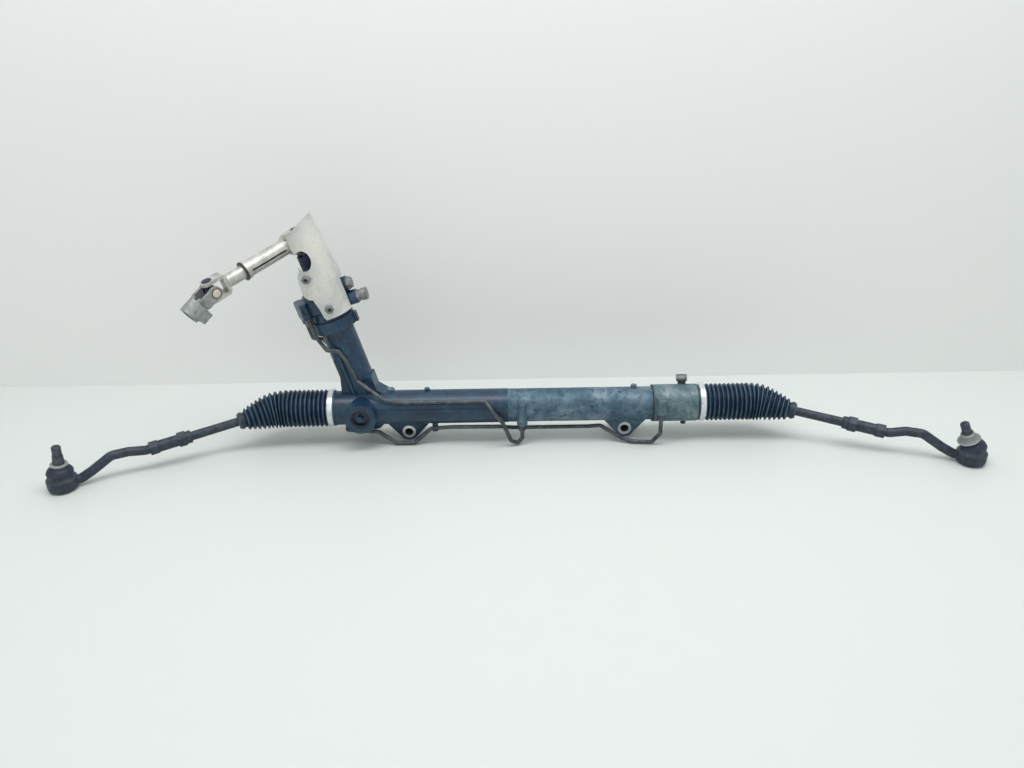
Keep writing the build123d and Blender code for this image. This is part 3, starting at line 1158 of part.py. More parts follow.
low_place = Plane(origin=joint_low, x_dir=bend_low, z_dir=TOWER_DIR)
with BuildPart() as lower_yoke:
    add(fork(low_place, LOWER_DEPTH, 14, LOWER_HUB - FORK_BASE))
    clamp_plane = Plane(origin=joint_low - TOWER_DIR * (LOWER_DEPTH + 19), x_dir=bend_low, z_dir=TOWER_DIR)
    with BuildSketch(clamp_plane.offset(-8)):
        with Locations((0, PINCH_OUT - 2)):
            Rectangle(2 * PINCH_HALF, 19)
    extrude(amount=16)
    with BuildSketch(TOWER.offset(JOINT_HEIGHT - LOWER_DEPTH - LOWER_HUB - 2)):
        Circle(SPLINE_R + RUN)
    extrude(amount=LOWER_HUB - 1, mode=Mode.SUBTRACT)
    with BuildSketch(clamp_plane.offset(-14)):
        with Locations((0, 15)):
            Rectangle(3, 22)
    extrude(amount=26, mode=Mode.SUBTRACT)
    bolt_start = clamp_plane.from_local_coords((-PINCH_HALF - 1, PINCH_OUT, 0))
    with BuildSketch(Plane(origin=bolt_start, z_dir=bend_low)):
        Circle(PINCH_R)
    extrude(amount=2 * PINCH_HALF + 2, mode=Mode.SUBTRACT)
save(lower_yoke.part, "lower_yoke")

save(spider(low_place, pin_low), "lower_cross")

tube_place = Plane(origin=joint_low, x_dir=pin_low, z_dir=-shaft_dir)
tube_low = Plane(origin=joint_low, x_dir=pin_low, z_dir=shaft_dir)
with BuildPart() as shaft_tube:
    add(fork(tube_place, LOWER_DEPTH, TUBE_OUT_R, RING_AT - LOWER_DEPTH - FORK_BASE))
    with BuildSketch(tube_low.offset(LOWER_DEPTH + 24)):
        Circle(SLIDE_R + RUN)
    extrude(amount=SHAFT_LENGTH, mode=Mode.SUBTRACT)
save(shaft_tube.part, "shaft_tube")

with BuildPart() as tube_ring:
    with BuildSketch(tube_low.offset(RING_AT - 4)):
        Circle(TUBE_OUT_R + 1.5)
        Circle(TUBE_OUT_R, mode=Mode.SUBTRACT)
    extrude(amount=6.5)
    with BuildSketch(tube_low.offset(RING_AT + 0.6)):
        Circle(TUBE_OUT_R + 1.5)
        Circle(SLIDE_R + GAP, mode=Mode.SUBTRACT)
    extrude(amount=2)
save(tube_ring.part, "tube_ring")

high_place = Plane(origin=joint_high, x_dir=pin_high, z_dir=shaft_dir)
with BuildPart() as slide_fork:
    add(fork(high_place, UPPER_DEPTH, SLIDE_R, SHAFT_LENGTH - UPPER_DEPTH - FORK_BASE - 68))
save(slide_fork.part, "slide_fork")

save(spider(high_place, level), "upper_cross")

clamp_place = Plane(origin=joint_high, x_dir=level, z_dir=-clamp_dir)
CLAMP_BORE_R = 9.0
with BuildPart() as clamp_yoke:
    add(fork(clamp_place, UPPER_DEPTH, 13.5, CLAMP_HUB - FORK_BASE))
    hub_centre = joint_high + clamp_dir * (UPPER_DEPTH + FORK_BASE + 7)
    hub_mid = Plane(origin=hub_centre, x_dir=level, z_dir=clamp_dir)
    with BuildSketch(hub_mid.offset(-8)):
        with Locations((0, -12)):
            Rectangle(24, 14)
    extrude(amount=16)
    with BuildSketch(hub_mid.offset(-16)):
        Circle(CLAMP_BORE_R)
    extrude(amount=60, mode=Mode.SUBTRACT)
    with BuildSketch(hub_mid.offset(-10)):
        with Locations((0, -15)):
            Rectangle(3, 20)
    extrude(amount=40, mode=Mode.SUBTRACT)
save(clamp_yoke.part, "clamp_yoke")

pinch_start = clamp_plane.from_local_coords((-PINCH_HALF, PINCH_OUT, 0))
with BuildPart() as lower_pinch_bolt:
    with BuildSketch(Plane(origin=pinch_start, z_dir=bend_low)):
        RegularPolygon(6, 6)
    extrude(amount=-5)
    with BuildSketch(Plane(origin=pinch_start, z_dir=bend_low)):
        Circle(PINCH_R)
    extrude(amount=2 * PINCH_HALF + 3)
save(lower_pinch_bolt.part, "lower_pinch_bolt")
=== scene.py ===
"""Looks of the steering rack: camera, light, materials and the soft or fine pieces."""
from math import cos, pi, radians, sin, tan

import bpy
from mathutils import Matrix, Vector


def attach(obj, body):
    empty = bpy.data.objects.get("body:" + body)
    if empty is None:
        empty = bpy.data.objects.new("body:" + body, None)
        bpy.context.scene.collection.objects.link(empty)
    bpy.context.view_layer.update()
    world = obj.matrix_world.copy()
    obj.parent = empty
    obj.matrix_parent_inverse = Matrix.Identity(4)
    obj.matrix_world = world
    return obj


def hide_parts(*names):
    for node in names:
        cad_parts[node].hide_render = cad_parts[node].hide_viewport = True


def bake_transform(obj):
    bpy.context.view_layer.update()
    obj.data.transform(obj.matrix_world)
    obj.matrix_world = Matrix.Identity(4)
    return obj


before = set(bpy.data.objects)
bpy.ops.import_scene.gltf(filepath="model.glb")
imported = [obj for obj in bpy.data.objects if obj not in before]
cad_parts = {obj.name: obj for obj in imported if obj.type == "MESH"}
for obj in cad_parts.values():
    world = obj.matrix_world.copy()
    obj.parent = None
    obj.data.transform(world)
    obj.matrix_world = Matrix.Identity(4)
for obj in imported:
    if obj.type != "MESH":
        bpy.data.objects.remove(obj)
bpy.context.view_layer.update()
MM = 0.001

# ---------------------------------------------------------------- sizes shared with the model, in mm
SIDES = {"left": -1, "right": 1}
RACK_BACK, RACK_LIFT = 3.0, 40.9        # rack axis from the subframe bolts
GROUND = -13.8                          # level that the part rests on
BOLT_SPACING = 326.5
PIVOT_X = 354.5                         # inner ball joints
MOUTH_X = 281.5                         # ends of the housing
ROD_YAW = {"left": 24.4, "right": 18.0}
ROD_FALL = {"left": 6.5, "right": 7.2}
ROD_THREAD = 150.0                      # inner ball to the end of the rod's thread
END_REACH = {"left": 157.9, "right": 157.5}     # from there to the outer ball
STUD_LEAN = {"left": 4.0, "right": -24.0}
BALL_HEIGHT = 3.7
LEAN = radians(16.0)                    # lean of the valve tower
TOWER_FOOT = Vector((-225.0, 20.0, RACK_LIFT))
TOWER_DIR = Vector((-sin(LEAN), 0, cos(LEAN)))
TOWER_SIDE = Vector((cos(LEAN), 0, sin(LEAN)))
SHAFT_YAW, SHAFT_FALL = radians(43.5), radians(16.5)
SHAFT_DIR = Vector((-cos(SHAFT_FALL) * cos(SHAFT_YAW), -cos(SHAFT_FALL) * sin(SHAFT_YAW), -sin(SHAFT_FALL)))
LEVEL = Vector((sin(SHAFT_YAW), -cos(SHAFT_YAW), 0))    # level direction square to the shaft
JOINT_LOW = TOWER_FOOT + TOWER_DIR * 268.0
JOINT_HIGH = JOINT_LOW + SHAFT_DIR * 146.0
CAMERA_FALL = radians(25.6)             # how far the camera looks down
OUT, FRONT, BACK, UP = Vector((1, 0, 0)), Vector((0, -1, 0)), Vector((0, 1, 0)), Vector((0, 0, 1))


def on_axis(x):
    """Point of the rack axis."""
    return Vector((x, RACK_BACK, RACK_LIFT))


pivot, rod_dir = {}, {}
for side, sign in SIDES.items():
    yaw, fall = radians(ROD_YAW[side]), radians(ROD_FALL[side])
    pivot[side] = on_axis(sign * PIVOT_X)
    rod_dir[side] = Vector((sign * cos(fall) * cos(yaw), -cos(fall) * sin(yaw), -sin(fall)))


# ---------------------------------------------------------------- materials
def linear(red, green, blue):
    """Scene-linear colour from one given in the usual 0-255 display values."""
    out = []
    for value in (red, green, blue):
        value /= 255
        out.append(value / 12.92 if value <= 0.04045 else ((value + 0.055) / 1.055) ** 2.4)
    return (*out, 1.0)


class Surface:
    """A material whose colour, roughness and bump come from noise in the object's own space."""

    def __init__(self, name, specular, metallic=0.0, coat=0.0, coat_roughness=0.3):
        self.material = bpy.data.materials.new(name)
        self.material.use_nodes = True
        self.tree = self.material.node_tree
        self.shader = self.tree.nodes["Principled BSDF"]
        self.shader.inputs["Metallic"].default_value = metallic
        self.shader.inputs["Specular IOR Level"].default_value = specular
        self.shader.inputs["Coat Weight"].default_value = coat
        self.shader.inputs["Coat Roughness"].default_value = coat_roughness
        self.place = self.tree.nodes.new("ShaderNodeTexCoord")
        self.height = None

    def node(self, kind, **values):
        made = self.tree.nodes.new(kind)
        for key, value in values.items():
            setattr(made, key, value)
        return made

    def link(self, out, into):
        self.tree.links.new(out, into)

    def noise(self, scale, detail=4.0, roughness=0.55, stretch=(1, 1, 1), distortion=0.0):
        """Noise of a scale per metre, stretched along the axes."""
        mapping = self.node("ShaderNodeMapping")
        mapping.inputs["Scale"].default_value = stretch
        self.link(self.place.outputs["Object"], mapping.inputs["Vector"])
        noise = self.node("ShaderNodeTexNoise")
        noise.inputs["Scale"].default_value = scale
        noise.inputs["Detail"].default_value = detail
        noise.inputs["Roughness"].default_value = roughness
        noise.inputs["Distortion"].default_value = distortion
        self.link(mapping.outputs["Vector"], noise.inputs["Vector"])
        return noise.outputs["Fac"]

    def ramp(self, factor, stops):
        """Colour ramp through (position, colour) stops."""
        ramp = self.node("ShaderNodeValToRGB")
        elements = ramp.color_ramp.elements
        while len(elements) < len(stops):
            elements.new(0.5)
        for element, (position, colour) in zip(elements, stops):
            element.position = position
            element.color = colour
        self.link(factor, ramp.inputs["Fac"])
        return ramp.outputs["Color"]

    def grey(self, factor, low, high, at_low=0.3, at_high=0.7):
        """A factor spread to grey levels between two positions."""
        spread = self.node("ShaderNodeMapRange")
        spread.inputs["From Min"].default_value = at_low
        spread.inputs["From Max"].default_value = at_high
        spread.inputs["To Min"].default_value = low
        spread.inputs["To Max"].default_value = high
        self.link(factor, spread.inputs["Value"])
        return spread.outputs["Result"]

    def mix(self, factor, base, over):
        """A colour laid over a base where the factor is high."""
        mixer = self.node("ShaderNodeMix", data_type="RGBA")
        factor_socket, base_socket, over_socket = mixer.inputs[0], mixer.inputs[6], mixer.inputs[7]
        self.link(factor, factor_socket)
        self.link(base, base_socket)
        over_socket.default_value = over
        return mixer.outputs[2]

    def edges(self, low, high):
        """Factor that is high on raised edges."""
        geometry = self.node("ShaderNodeNewGeometry")
        return self.grey(geometry.outputs["Pointiness"], 0.0, 1.0, low, high)

    def times(self, first, second):
        """Product of two factors, each a socket or a number."""
        maths = self.node("ShaderNodeMath", operation="MULTIPLY", use_clamp=True)
        for socket, value in zip(maths.inputs, (first, second)):
            if isinstance(value, float):
                socket.default_value = value
            else:
                self.link(value, socket)
        return maths.outputs[0]

    def colour(self, value):
        self.link(value, self.shader.inputs["Base Color"])

    def rough(self, value):
        self.link(value, self.shader.inputs["Roughness"])

    def bump(self, height, depth, strength):
        """Bump of a depth in metres, on top of any bump before it."""
        bump = self.node("ShaderNodeBump")
        bump.inputs["Distance"].default_value = depth
        bump.inputs["Strength"].default_value = strength
        self.link(height, bump.inputs["Height"])
        if self.height is not None:
            self.link(self.height, bump.inputs["Normal"])
        self.height = bump.outputs["Normal"]
        self.link(self.height, self.shader.inputs["Normal"])


def cast_paint(name, wear):
    """Dark satin paint on a casting, with dust and worn patches."""
    s = Surface(name, specular=0.45, coat=0.2, coat_roughness=0.25)
    shades = [(0.3, linear(2, 30, 54)), (0.5, linear(8, 48, 74)), (0.72, linear(26, 72, 98))]
    base = s.ramp(s.noise(30, 5, 0.6), shades)
    dust = s.grey(s.noise(210, 6, 0.7), 0.0, 0.30, 0.52, 0.75)
    base = s.mix(dust, base, linear(88, 100, 112))
    patches = s.grey(s.noise(45, 6, 0.7), 0.0, 1.0, 0.55, 0.7)
    worn = s.times(patches, s.grey(s.noise(160, 4), 0.0, wear, 0.5, 0.62))
    s.colour(s.mix(worn, base, linear(96, 106, 122)))
    s.rough(s.grey(s.noise(90, 5), 0.34, 0.50))
    s.bump(s.noise(520, 6, 0.65), 0.00030, 0.5)
    s.bump(s.noise(60, 3, 0.5), 0.0005, 0.25)
    return s.material


def cast_aluminium(name, dark, mid, light, streak):
    """Mottled bare casting with scratches across."""
    s = Surface(name, metallic=0.35, specular=0.45)
    broad = s.noise(26, 7, 0.68, distortion=0.3)
    base = s.ramp(broad, [(0.30, linear(*dark)), (0.47, linear(*mid)), (0.66, linear(*light))])
    spots = s.grey(s.noise(130, 8, 0.75), 0.0, 0.85, 0.52, 0.66)
    base = s.mix(spots, base, linear(*streak))
    scratch = s.grey(s.noise(60, 6, 0.8, (0.12, 1, 1)), 0.0, 0.4, 0.58, 0.7)
    s.colour(s.mix(scratch, base, linear(126, 126, 134)))
    s.rough(s.grey(s.noise(80, 6), 0.42, 0.75))
    s.bump(s.noise(520, 6, 0.7), 0.0004, 0.6)
    s.bump(s.noise(90, 4, 0.5), 0.0006, 0.4)
    return s.material


def steel(name, dark, light, metallic, rough_low, rough_high, stain=None, bump=0.00015):
    """Metal or hard plastic between two shades, with stains where given."""
    s = Surface(name, metallic=metallic, specular=0.5)
    base = s.ramp(s.noise(90, 6, 0.65), [(0.32, linear(*dark)), (0.68, linear(*light))])
    if stain:
        spots = s.grey(s.noise(170, 7, 0.75), 0.0, 0.75, 0.56, 0.70)
        base = s.mix(spots, base, linear(*stain))
    s.colour(base)
    s.rough(s.grey(s.noise(240, 5, 0.6), rough_low, rough_high))
    s.bump(s.noise(700, 5, 0.6), bump, 0.5)
    return s.material


def rubber(name, base, dusty, amount):
    """Dark rubber with dust on its crests."""
    s = Surface(name, specular=0.45)
    tone = s.ramp(s.noise(45, 4, 0.6), [(0.3, linear(*base)), (0.7, linear(*[v + 12 for v in base]))])
    dust = s.times(s.edges(0.50, 0.56), s.grey(s.noise(70, 5, 0.6), 0.25, 1.0, 0.35, 0.6))
    s.colour(s.mix(s.times(dust, amount), tone, linear(*dusty)))
    s.rough(s.grey(s.noise(90, 4), 0.38, 0.58))
    s.bump(s.noise(900, 3, 0.5), 0.0001, 0.4)
    return s.material


def sheet_metal():
    """Dull pressed sheet with smudges and pits."""
    s = Surface("dull_shield_sheet", metallic=0.45, specular=0.5)
    shades = [(0.30, linear(180, 183, 184)), (0.5, linear(205, 206, 202)), (0.7, linear(224, 222, 214))]
    base = s.ramp(s.noise(16, 6, 0.62, distortion=0.4), shades)
    smudge = s.grey(s.noise(120, 8, 0.8), 0.0, 0.55, 0.55, 0.72)
    base = s.mix(smudge, base, linear(150, 150, 146))
    pits = s.grey(s.noise(480, 3, 0.6), 0.0, 0.8, 0.68, 0.76)
    s.colour(s.mix(pits, base, linear(88, 84, 78)))
    s.rough(s.grey(s.noise(70, 6), 0.38, 0.62))
    s.bump(s.noise(30, 3, 0.5), 0.0009, 0.5)
    s.bump(s.noise(600, 4, 0.6), 0.00015, 0.4)
    return s.material


paint = cast_paint("satin_black_casting", 0.6)
nut_paint = cast_paint("satin_black_nut", 0.08)
aluminium = cast_aluminium("mottled_cast_aluminium", dark=(46, 74, 92), mid=(80, 106, 122),
                           light=(128, 142, 154), streak=(30, 56, 74))
sleeve_metal = cast_aluminium("turned_sleeve_aluminium", dark=(66, 90, 98), mid=(100, 122, 128),
                              light=(142, 152, 156), streak=(48, 70, 78))
bright = steel("bright_steel", (198, 202, 205), (232, 235, 236), 0.55, 0.26, 0.36)
charcoal = steel("charcoal_steel", (24, 36, 48), (58, 70, 82), 0.2, 0.38, 0.62, (88, 92, 94), 0.0003)
pipe_steel = steel("pipe_steel", (44, 54, 62), (92, 98, 102), 0.45, 0.28, 0.45, (120, 114, 106))
zinc = steel("zinc_steel", (160, 160, 154), (208, 206, 199), 0.5, 0.3, 0.5, (120, 114, 106), 0.0002)
zinc_cast = steel("forged_zinc_yoke", (122, 127, 128), (168, 170, 168), 0.35, 0.42, 0.62, (88, 86, 82),
                  0.0004)
stud_steel = steel("dark_stud_steel", (38, 46, 58), (84, 90, 98), 0.35, 0.34, 0.55, (120, 120, 118))
# near black: painted shade for the holes, sockets, the tube's slot and the plug's groove, and the dark joint
# rings at the ends of the end sleeve
shade_and_joint_black = steel("painted_shade_and_joint_black", (10, 16, 24), (22, 28, 36), 0.0, 0.5, 0.7)
shadow_steel = steel("shaded_yoke_steel", (6, 18, 46), (22, 38, 70), 0.1, 0.4, 0.6)
bolt_steel = steel("grey_bolt_steel", (104, 106, 108), (148, 148, 146), 0.5, 0.35, 0.5, (78, 74, 70))
boot_rubber = rubber("bellows_rubber", (0, 26, 50), (84, 112, 132), 0.7)
joint_rubber = rubber("joint_boot_rubber", (12, 24, 42), (66, 80, 96), 0.5)
black_rubber = rubber("black_rubber", (20, 24, 32), (80, 84, 88), 0.4)
dusty_rubber = rubber("dusty_grey_rubber", (112, 116, 118), (176, 180, 180), 0.6)
shield = sheet_metal()
polymer = steel("cream_polymer", (196, 190, 160), (214, 208, 180), 0.0, 0.35, 0.5)
bronze = steel("bronze_bush", (120, 92, 52), (156, 122, 70), 0.8, 0.3, 0.45)

LOOKS = {
    "pinion_housing valve_housing lower_cap yoke_plug": paint,
    "ring_nut": nut_paint,
    "cylinder_housing casting_plugs": aluminium,
    "end_sleeve": sleeve_metal,
    "mount_sleeves boot_clamps shield_bolts rack_bar": bright,
    "small_clamp_left small_clamp_right tie_rod_left tie_rod_right lock_nut_left lock_nut_right "
    "rod_end_left rod_end_right inner_socket_left inner_socket_right piston yoke_spring torsion_bar "
    "lower_bearing upper_bearing line_clip": charcoal,
    "front_line rear_line line_nuts": pipe_steel,
    "shaft_tube tube_ring slide_fork pinion_shaft valve_sleeve": zinc,
    "clamp_yoke": zinc_cast,
    "hose_fittings": bolt_steel,
    "lower_yoke lower_pinch_bolt lower_cross input_shaft upper_cross": shadow_steel,
    "stud_left stud_right": stud_steel,
    "heat_shield": shield,
    "input_seal rack_seals vent_plugs": black_rubber,
    "inner_seat_left inner_seat_right outer_seat_left outer_seat_right rack_yoke": polymer,
    "rack_bushing": bronze,
    "boot_left boot_right dust_boot_left dust_boot_right": boot_rubber,
}
for names, look in LOOKS.items():
    for name in names.split():
        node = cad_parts[name]
        node.data.materials.clear()
        node.data.materials.append(look)


# ---------------------------------------------------------------- mesh helpers
ARC_STEP = 2.0                  # between points of an arc


def rounded_path(points, radii):
    """Dense points along straight runs joined by arcs, in millimetres."""
    track = [points[0].copy()]
    for before, corner, after, radius in zip(points, points[1:], points[2:], radii):
        come, go = (before - corner).normalized(), (after - corner).normalized()
        half = come.angle(go) / 2
        back = radius / tan(half)
        start, end = corner + come * back, corner + go * back
        middle = corner + (come + go).normalized() * (radius / sin(half))
        arm, swing = start - middle, pi - 2 * half
        turn_axis = arm.cross(end - middle).normalized()
        count = max(4, int(radius * swing / ARC_STEP))
        for k in range(count + 1):
            track.append(middle + Matrix.Rotation(swing * k / count, 3, turn_axis) @ arm)
    track.append(points[-1].copy())
    return track


def along_track(track, distance):
    """Point and heading at a distance along dense points."""
    for first, second in zip(track, track[1:]):
        run = (second - first).length
        if distance <= run or second is track[-1]:
            heading = (second - first).normalized()
            return first + heading * distance, heading
        distance -= run


def ring_skin(name, rings, material):
    """Smooth mesh through rings of equal point count, in millimetres."""
    count = len(rings[0])
    vertices = [point * MM for ring in rings for point in ring]
    faces = []
    for k in range(len(rings) - 1):
        for j in range(count):
            a, b = k * count + j, k * count + (j + 1) % count
            faces.append((a, b, b + count, a + count))
    mesh = bpy.data.meshes.new(name)
    mesh.from_pydata(vertices, [], faces)
    mesh.materials.append(material)
    mesh.polygons.foreach_set("use_smooth", [True] * len(mesh.polygons))
    mesh.update()
    made = bpy.data.objects.new(name, mesh)
    bpy.context.scene.collection.objects.link(made)
    return made


def circle(centre, heading, radius, count=64, up=UP):
    """Ring of points square to a heading."""
    across = up.cross(heading).normalized()
    top = heading.cross(across).normalized()
    return [centre + (across * cos(2 * pi * k / count) + top * sin(2 * pi * k / count)) * radius
            for k in range(count)]


def blend_between(piece):
    """Bake a piece's place into its mesh."""
    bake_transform(piece)


# ---------------------------------------------------------------- bellows
FOLDS = 19
TAPER = 7                       # folds that narrow towards the tie rod
FOLD_STEPS = 10                 # rings of points to a fold
CREST_R, VALLEY_R = 27.9, 22.8
SMALL_CREST = 4.2               # crest over valley at the narrow end
CREST_POWER, TAPER_POWER = 0.85, 1.3    # below 1 a crest is full, above 1 the taper starts gently
CUFF_R, CUFF_LENGTH = 26.3, 12.7
CUFF_RINGS = 4                  # rings of points that make each cuff
SMALL_R, SMALL_CUFF = 11.4, 10.0
BOOT_START, BOOT_END = 12.5, 63.0       # inside the housing's mouth, and past the inner ball
BEND_R, BEND_PAST = 75, 5       # bend onto the tie rod, its corner past the ball
SMALL_BEND_R, BEND_SHORT = 20, 4        # and the bend before the small cuff
NOD_FROM = 28                   # past the ball, where the last of the three pieces starts


def narrowing(fold, wide, narrow):
    """Radius of a fold that narrows over the last folds."""
    share = max(0.0, (fold - (FOLDS - TAPER)) / TAPER)
    return wide + (narrow - wide) * share ** TAPER_POWER


for side, sign in SIDES.items():
    out = Vector((sign, 0, 0))
    track = rounded_path(
        [on_axis(sign * (MOUTH_X - BOOT_START)), pivot[side] + out * BEND_PAST,
         pivot[side] + rod_dir[side] * (BOOT_END - SMALL_CUFF - BEND_SHORT),
         pivot[side] + rod_dir[side] * BOOT_END], (BEND_R, SMALL_BEND_R))
    total = sum((b - a).length for a, b in zip(track, track[1:]))
    pitch = (total - CUFF_LENGTH - SMALL_CUFF) / FOLDS
    profile = [(0, CUFF_R - 0.6), (0.4, CUFF_R), (CUFF_LENGTH - 0.5, CUFF_R), (CUFF_LENGTH, CUFF_R - 0.5)]
    for step in range(FOLDS * FOLD_STEPS + 1):
        fold = step / FOLD_STEPS
        wave = (0.5 - 0.5 * cos(2 * pi * fold)) ** CREST_POWER
        valley = narrowing(fold, VALLEY_R, SMALL_R)
        crest = narrowing(fold, CREST_R, SMALL_R + SMALL_CREST)
        profile.append((CUFF_LENGTH + 0.2 + fold * pitch, valley + (crest - valley) * wave))
    profile += [(total - SMALL_CUFF + 1, SMALL_R), (total - 0.3, SMALL_R), (total, SMALL_R - 0.5),
                (total, 7.2)]
    rings = []
    for station, radius in profile:
        centre, heading = along_track(track, station)
        rings.append(circle(centre, heading, radius))
    middles = [abs(sum(point.x for point in ring)) / len(ring) for ring in rings]
    cut_a = next(k for k, middle in enumerate(middles) if middle > PIVOT_X)
    cut_b = next(k for k, middle in enumerate(middles) if middle > PIVOT_X + NOD_FROM)
    # three pieces, cut at the inner ball and past it, each listed with the bodies at its two ends
    for part, (start, end, first, second) in enumerate((
            (0, cut_a, "housing", "rack"), (cut_a, cut_b, "rack", f"inner_seat_{side}"),
            (cut_b, len(rings) - 1 - CUFF_RINGS, f"inner_seat_{side}", f"tie_rod_{side}"))):
        last = end + 1 if part < 2 else len(rings)
        piece = ring_skin(f"bellows_{side}_{part}", rings[start:last], boot_rubber)
        heading = out if part == 0 else rod_dir[side]
        blend_between(piece)
        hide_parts(f"boot_{side}")

# ---------------------------------------------------------------- turned details
THREAD_PITCH = 1.5
THREAD_LOW, THREAD_HIGH = 0.03, 0.32    # roots and crests over the plain shank
STUD_THREAD, STUD_TOP = 37, 50  # from the ball along the stud
ROD_BARE = 38                   # thread left bare before the rod's end
DUST_BOOT_FOOT, DUST_BOOT_HEIGHT = 8, 12        # above the ball
DUST_BOOT = [(0.0, 16.4), (0.03, 17.6), (0.16, 18.2), (0.34, 17.4), (0.5, 16.2), (0.66, 14.4),
             (0.82, 12.1), (0.92, 11.2), (1.0, 10.9), (1.0, 7.0)]       # share of the height and radius
DUST_BOOT_CUT = 4               # ring between the two pieces of a boot
RIM = 20.2                      # stud's collar and flange above the ball
SHIELD_BOLTS = {"upper": (-94.0, 218.4, 35.45), "lower": (-73.0, 168.0, 35.90)}     # angle, height, radius
VENT_X, VENT_TURN, VENT_R = 248.0, radians(25), 26.75


def turned(name, base, heading, profile, material, body, count=48):
    """Lathed piece from (station, radius) pairs along a heading, riding on a body."""
    up = BACK if abs(heading.z) > 0.8 else UP
    rings = [circle(base + heading * station, heading, radius, count, up) for station, radius in profile]
    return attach(ring_skin(name, rings, material), body)


def thread(name, base, heading, length, radius, material, body):
    """Rings of thread standing a little over a plain shank."""
    turns = int(length / THREAD_PITCH)
    profile = [(-0.2, radius - 0.5)]
    for k in range(turns):
        profile += [(k * THREAD_PITCH, radius + THREAD_LOW),
                    ((k + 0.5) * THREAD_PITCH, radius + THREAD_HIGH)]
    profile.append((turns * THREAD_PITCH, radius - 0.5))
    return turned(name, base, heading, profile, material, body)


ball, stud_dir = {}, {}
for side, sign in SIDES.items():
    yaw, lean = radians(ROD_YAW[side]), radians(STUD_LEAN[side])
    reach = ROD_THREAD + END_REACH[side]
    ball[side] = Vector((pivot[side].x + sign * cos(yaw) * reach, pivot[side].y - sin(yaw) * reach,
                         BALL_HEIGHT))
    stud_dir[side] = Vector((sin(lean), 0, cos(lean)))
    thread(f"stud_thread_{side}", ball[side] + stud_dir[side] * STUD_THREAD, stud_dir[side], 12, 6.0,
           stud_steel, f"stud_{side}")
    # painted shade: a near-black disc stands for the hex socket in the stud's top
    turned(f"stud_socket_{side}", ball[side] + stud_dir[side] * STUD_TOP, stud_dir[side],
           [(-0.1, 2.9), (0.06, 2.9), (0.06, 0)], shade_and_joint_black, f"stud_{side}", 6)
    thread(f"rod_thread_{side}", pivot[side] + rod_dir[side] * (ROD_THREAD - ROD_BARE), rod_dir[side], 18,
           6.5, charcoal, f"tie_rod_{side}")

    # rubber boot over the ball, bending between the socket, the seat and the stud
    boot_rings = []
    for share, radius in DUST_BOOT:
        turn = lean * share
        heading = Vector((sin(turn), 0, cos(turn)))
        middle = ball[side] + heading * (DUST_BOOT_FOOT + DUST_BOOT_HEIGHT * share)
        boot_rings.append(circle(middle, heading, radius, 48, BACK))
    for part, (start, end, first, second) in enumerate((
            (0, DUST_BOOT_CUT, f"tie_rod_{side}", f"outer_seat_{side}"),
            (DUST_BOOT_CUT, len(DUST_BOOT) - 1, f"outer_seat_{side}", f"stud_{side}"))):
        piece = ring_skin(f"dust_boot_{side}_{part}", boot_rings[start:end + 1], joint_rubber)
        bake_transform(piece)
        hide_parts(f"dust_boot_{side}")

turned("stud_collar_left", ball["left"] + stud_dir["left"] * RIM, stud_dir["left"],
       [(0, 8), (0, 11.0), (0.6, 11.7), (2.6, 11.7), (3.2, 11.0), (3.4, 8)], dusty_rubber, "stud_left")
turned("stud_flange_right", ball["right"] + stud_dir["right"] * RIM, stud_dir["right"],
       [(0, 8), (0, 15.0), (0.5, 15.6), (1.8, 15.6), (2.4, 14.8), (3.0, 12.6), (9, 10.0), (12, 9.2),
        (12.6, 7.6)], dusty_rubber, "stud_right")

# black seal at the tube's mouth, and the cap over a bearing cup
TUBE_MOUTH = 93.2               # from the lower joint
CUP_FACE = 15.8                 # from the upper joint's middle
turned("tube_seal", JOINT_LOW + SHAFT_DIR * TUBE_MOUTH, SHAFT_DIR,
       [(0, 12), (0, 13.3), (0.4, 13.6), (1.8, 13.6), (2.2, 13.2), (2.2, 10)], black_rubber, "tube")
turned("bearing_cap", JOINT_HIGH + LEVEL * CUP_FACE, LEVEL, [(0, 5.6), (0.4, 5.5), (0.7, 4.6), (0.8, 0)],
       polymer, "upper_cross")

# long slot in the tube, low on the side that faces the camera at rest; a near-black strip of painted shade
# stands for it
SLOT_TURN = radians(42)
SLOT_FROM, SLOT_TO = 30, 86     # stations along the tube
SLOT_R, SLOT_RISE = 11.3, 0.35  # foot of the strip from the tube's axis, and its height
SLOT_HALF = 1.3
toward = Vector((0, -cos(CAMERA_FALL), sin(CAMERA_FALL)))
facing = (toward - SHAFT_DIR * toward.dot(SHAFT_DIR)).normalized()
below = facing.cross(SHAFT_DIR).normalized()
slot_side = facing * cos(SLOT_TURN) + below * sin(SLOT_TURN)
slot_across = slot_side.cross(SHAFT_DIR).normalized()
slot_rings = []
for station in (SLOT_FROM, SLOT_TO):
    middle = JOINT_LOW + SHAFT_DIR * station + slot_side * SLOT_R
    top = middle + slot_side * SLOT_RISE
    slot_rings.append([middle - slot_across * SLOT_HALF, top - slot_across * (SLOT_HALF - 0.1),
                       top + slot_across * (SLOT_HALF - 0.1), middle + slot_across * SLOT_HALF])
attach(ring_skin("tube_slot", slot_rings, shade_and_joint_black), "tube")

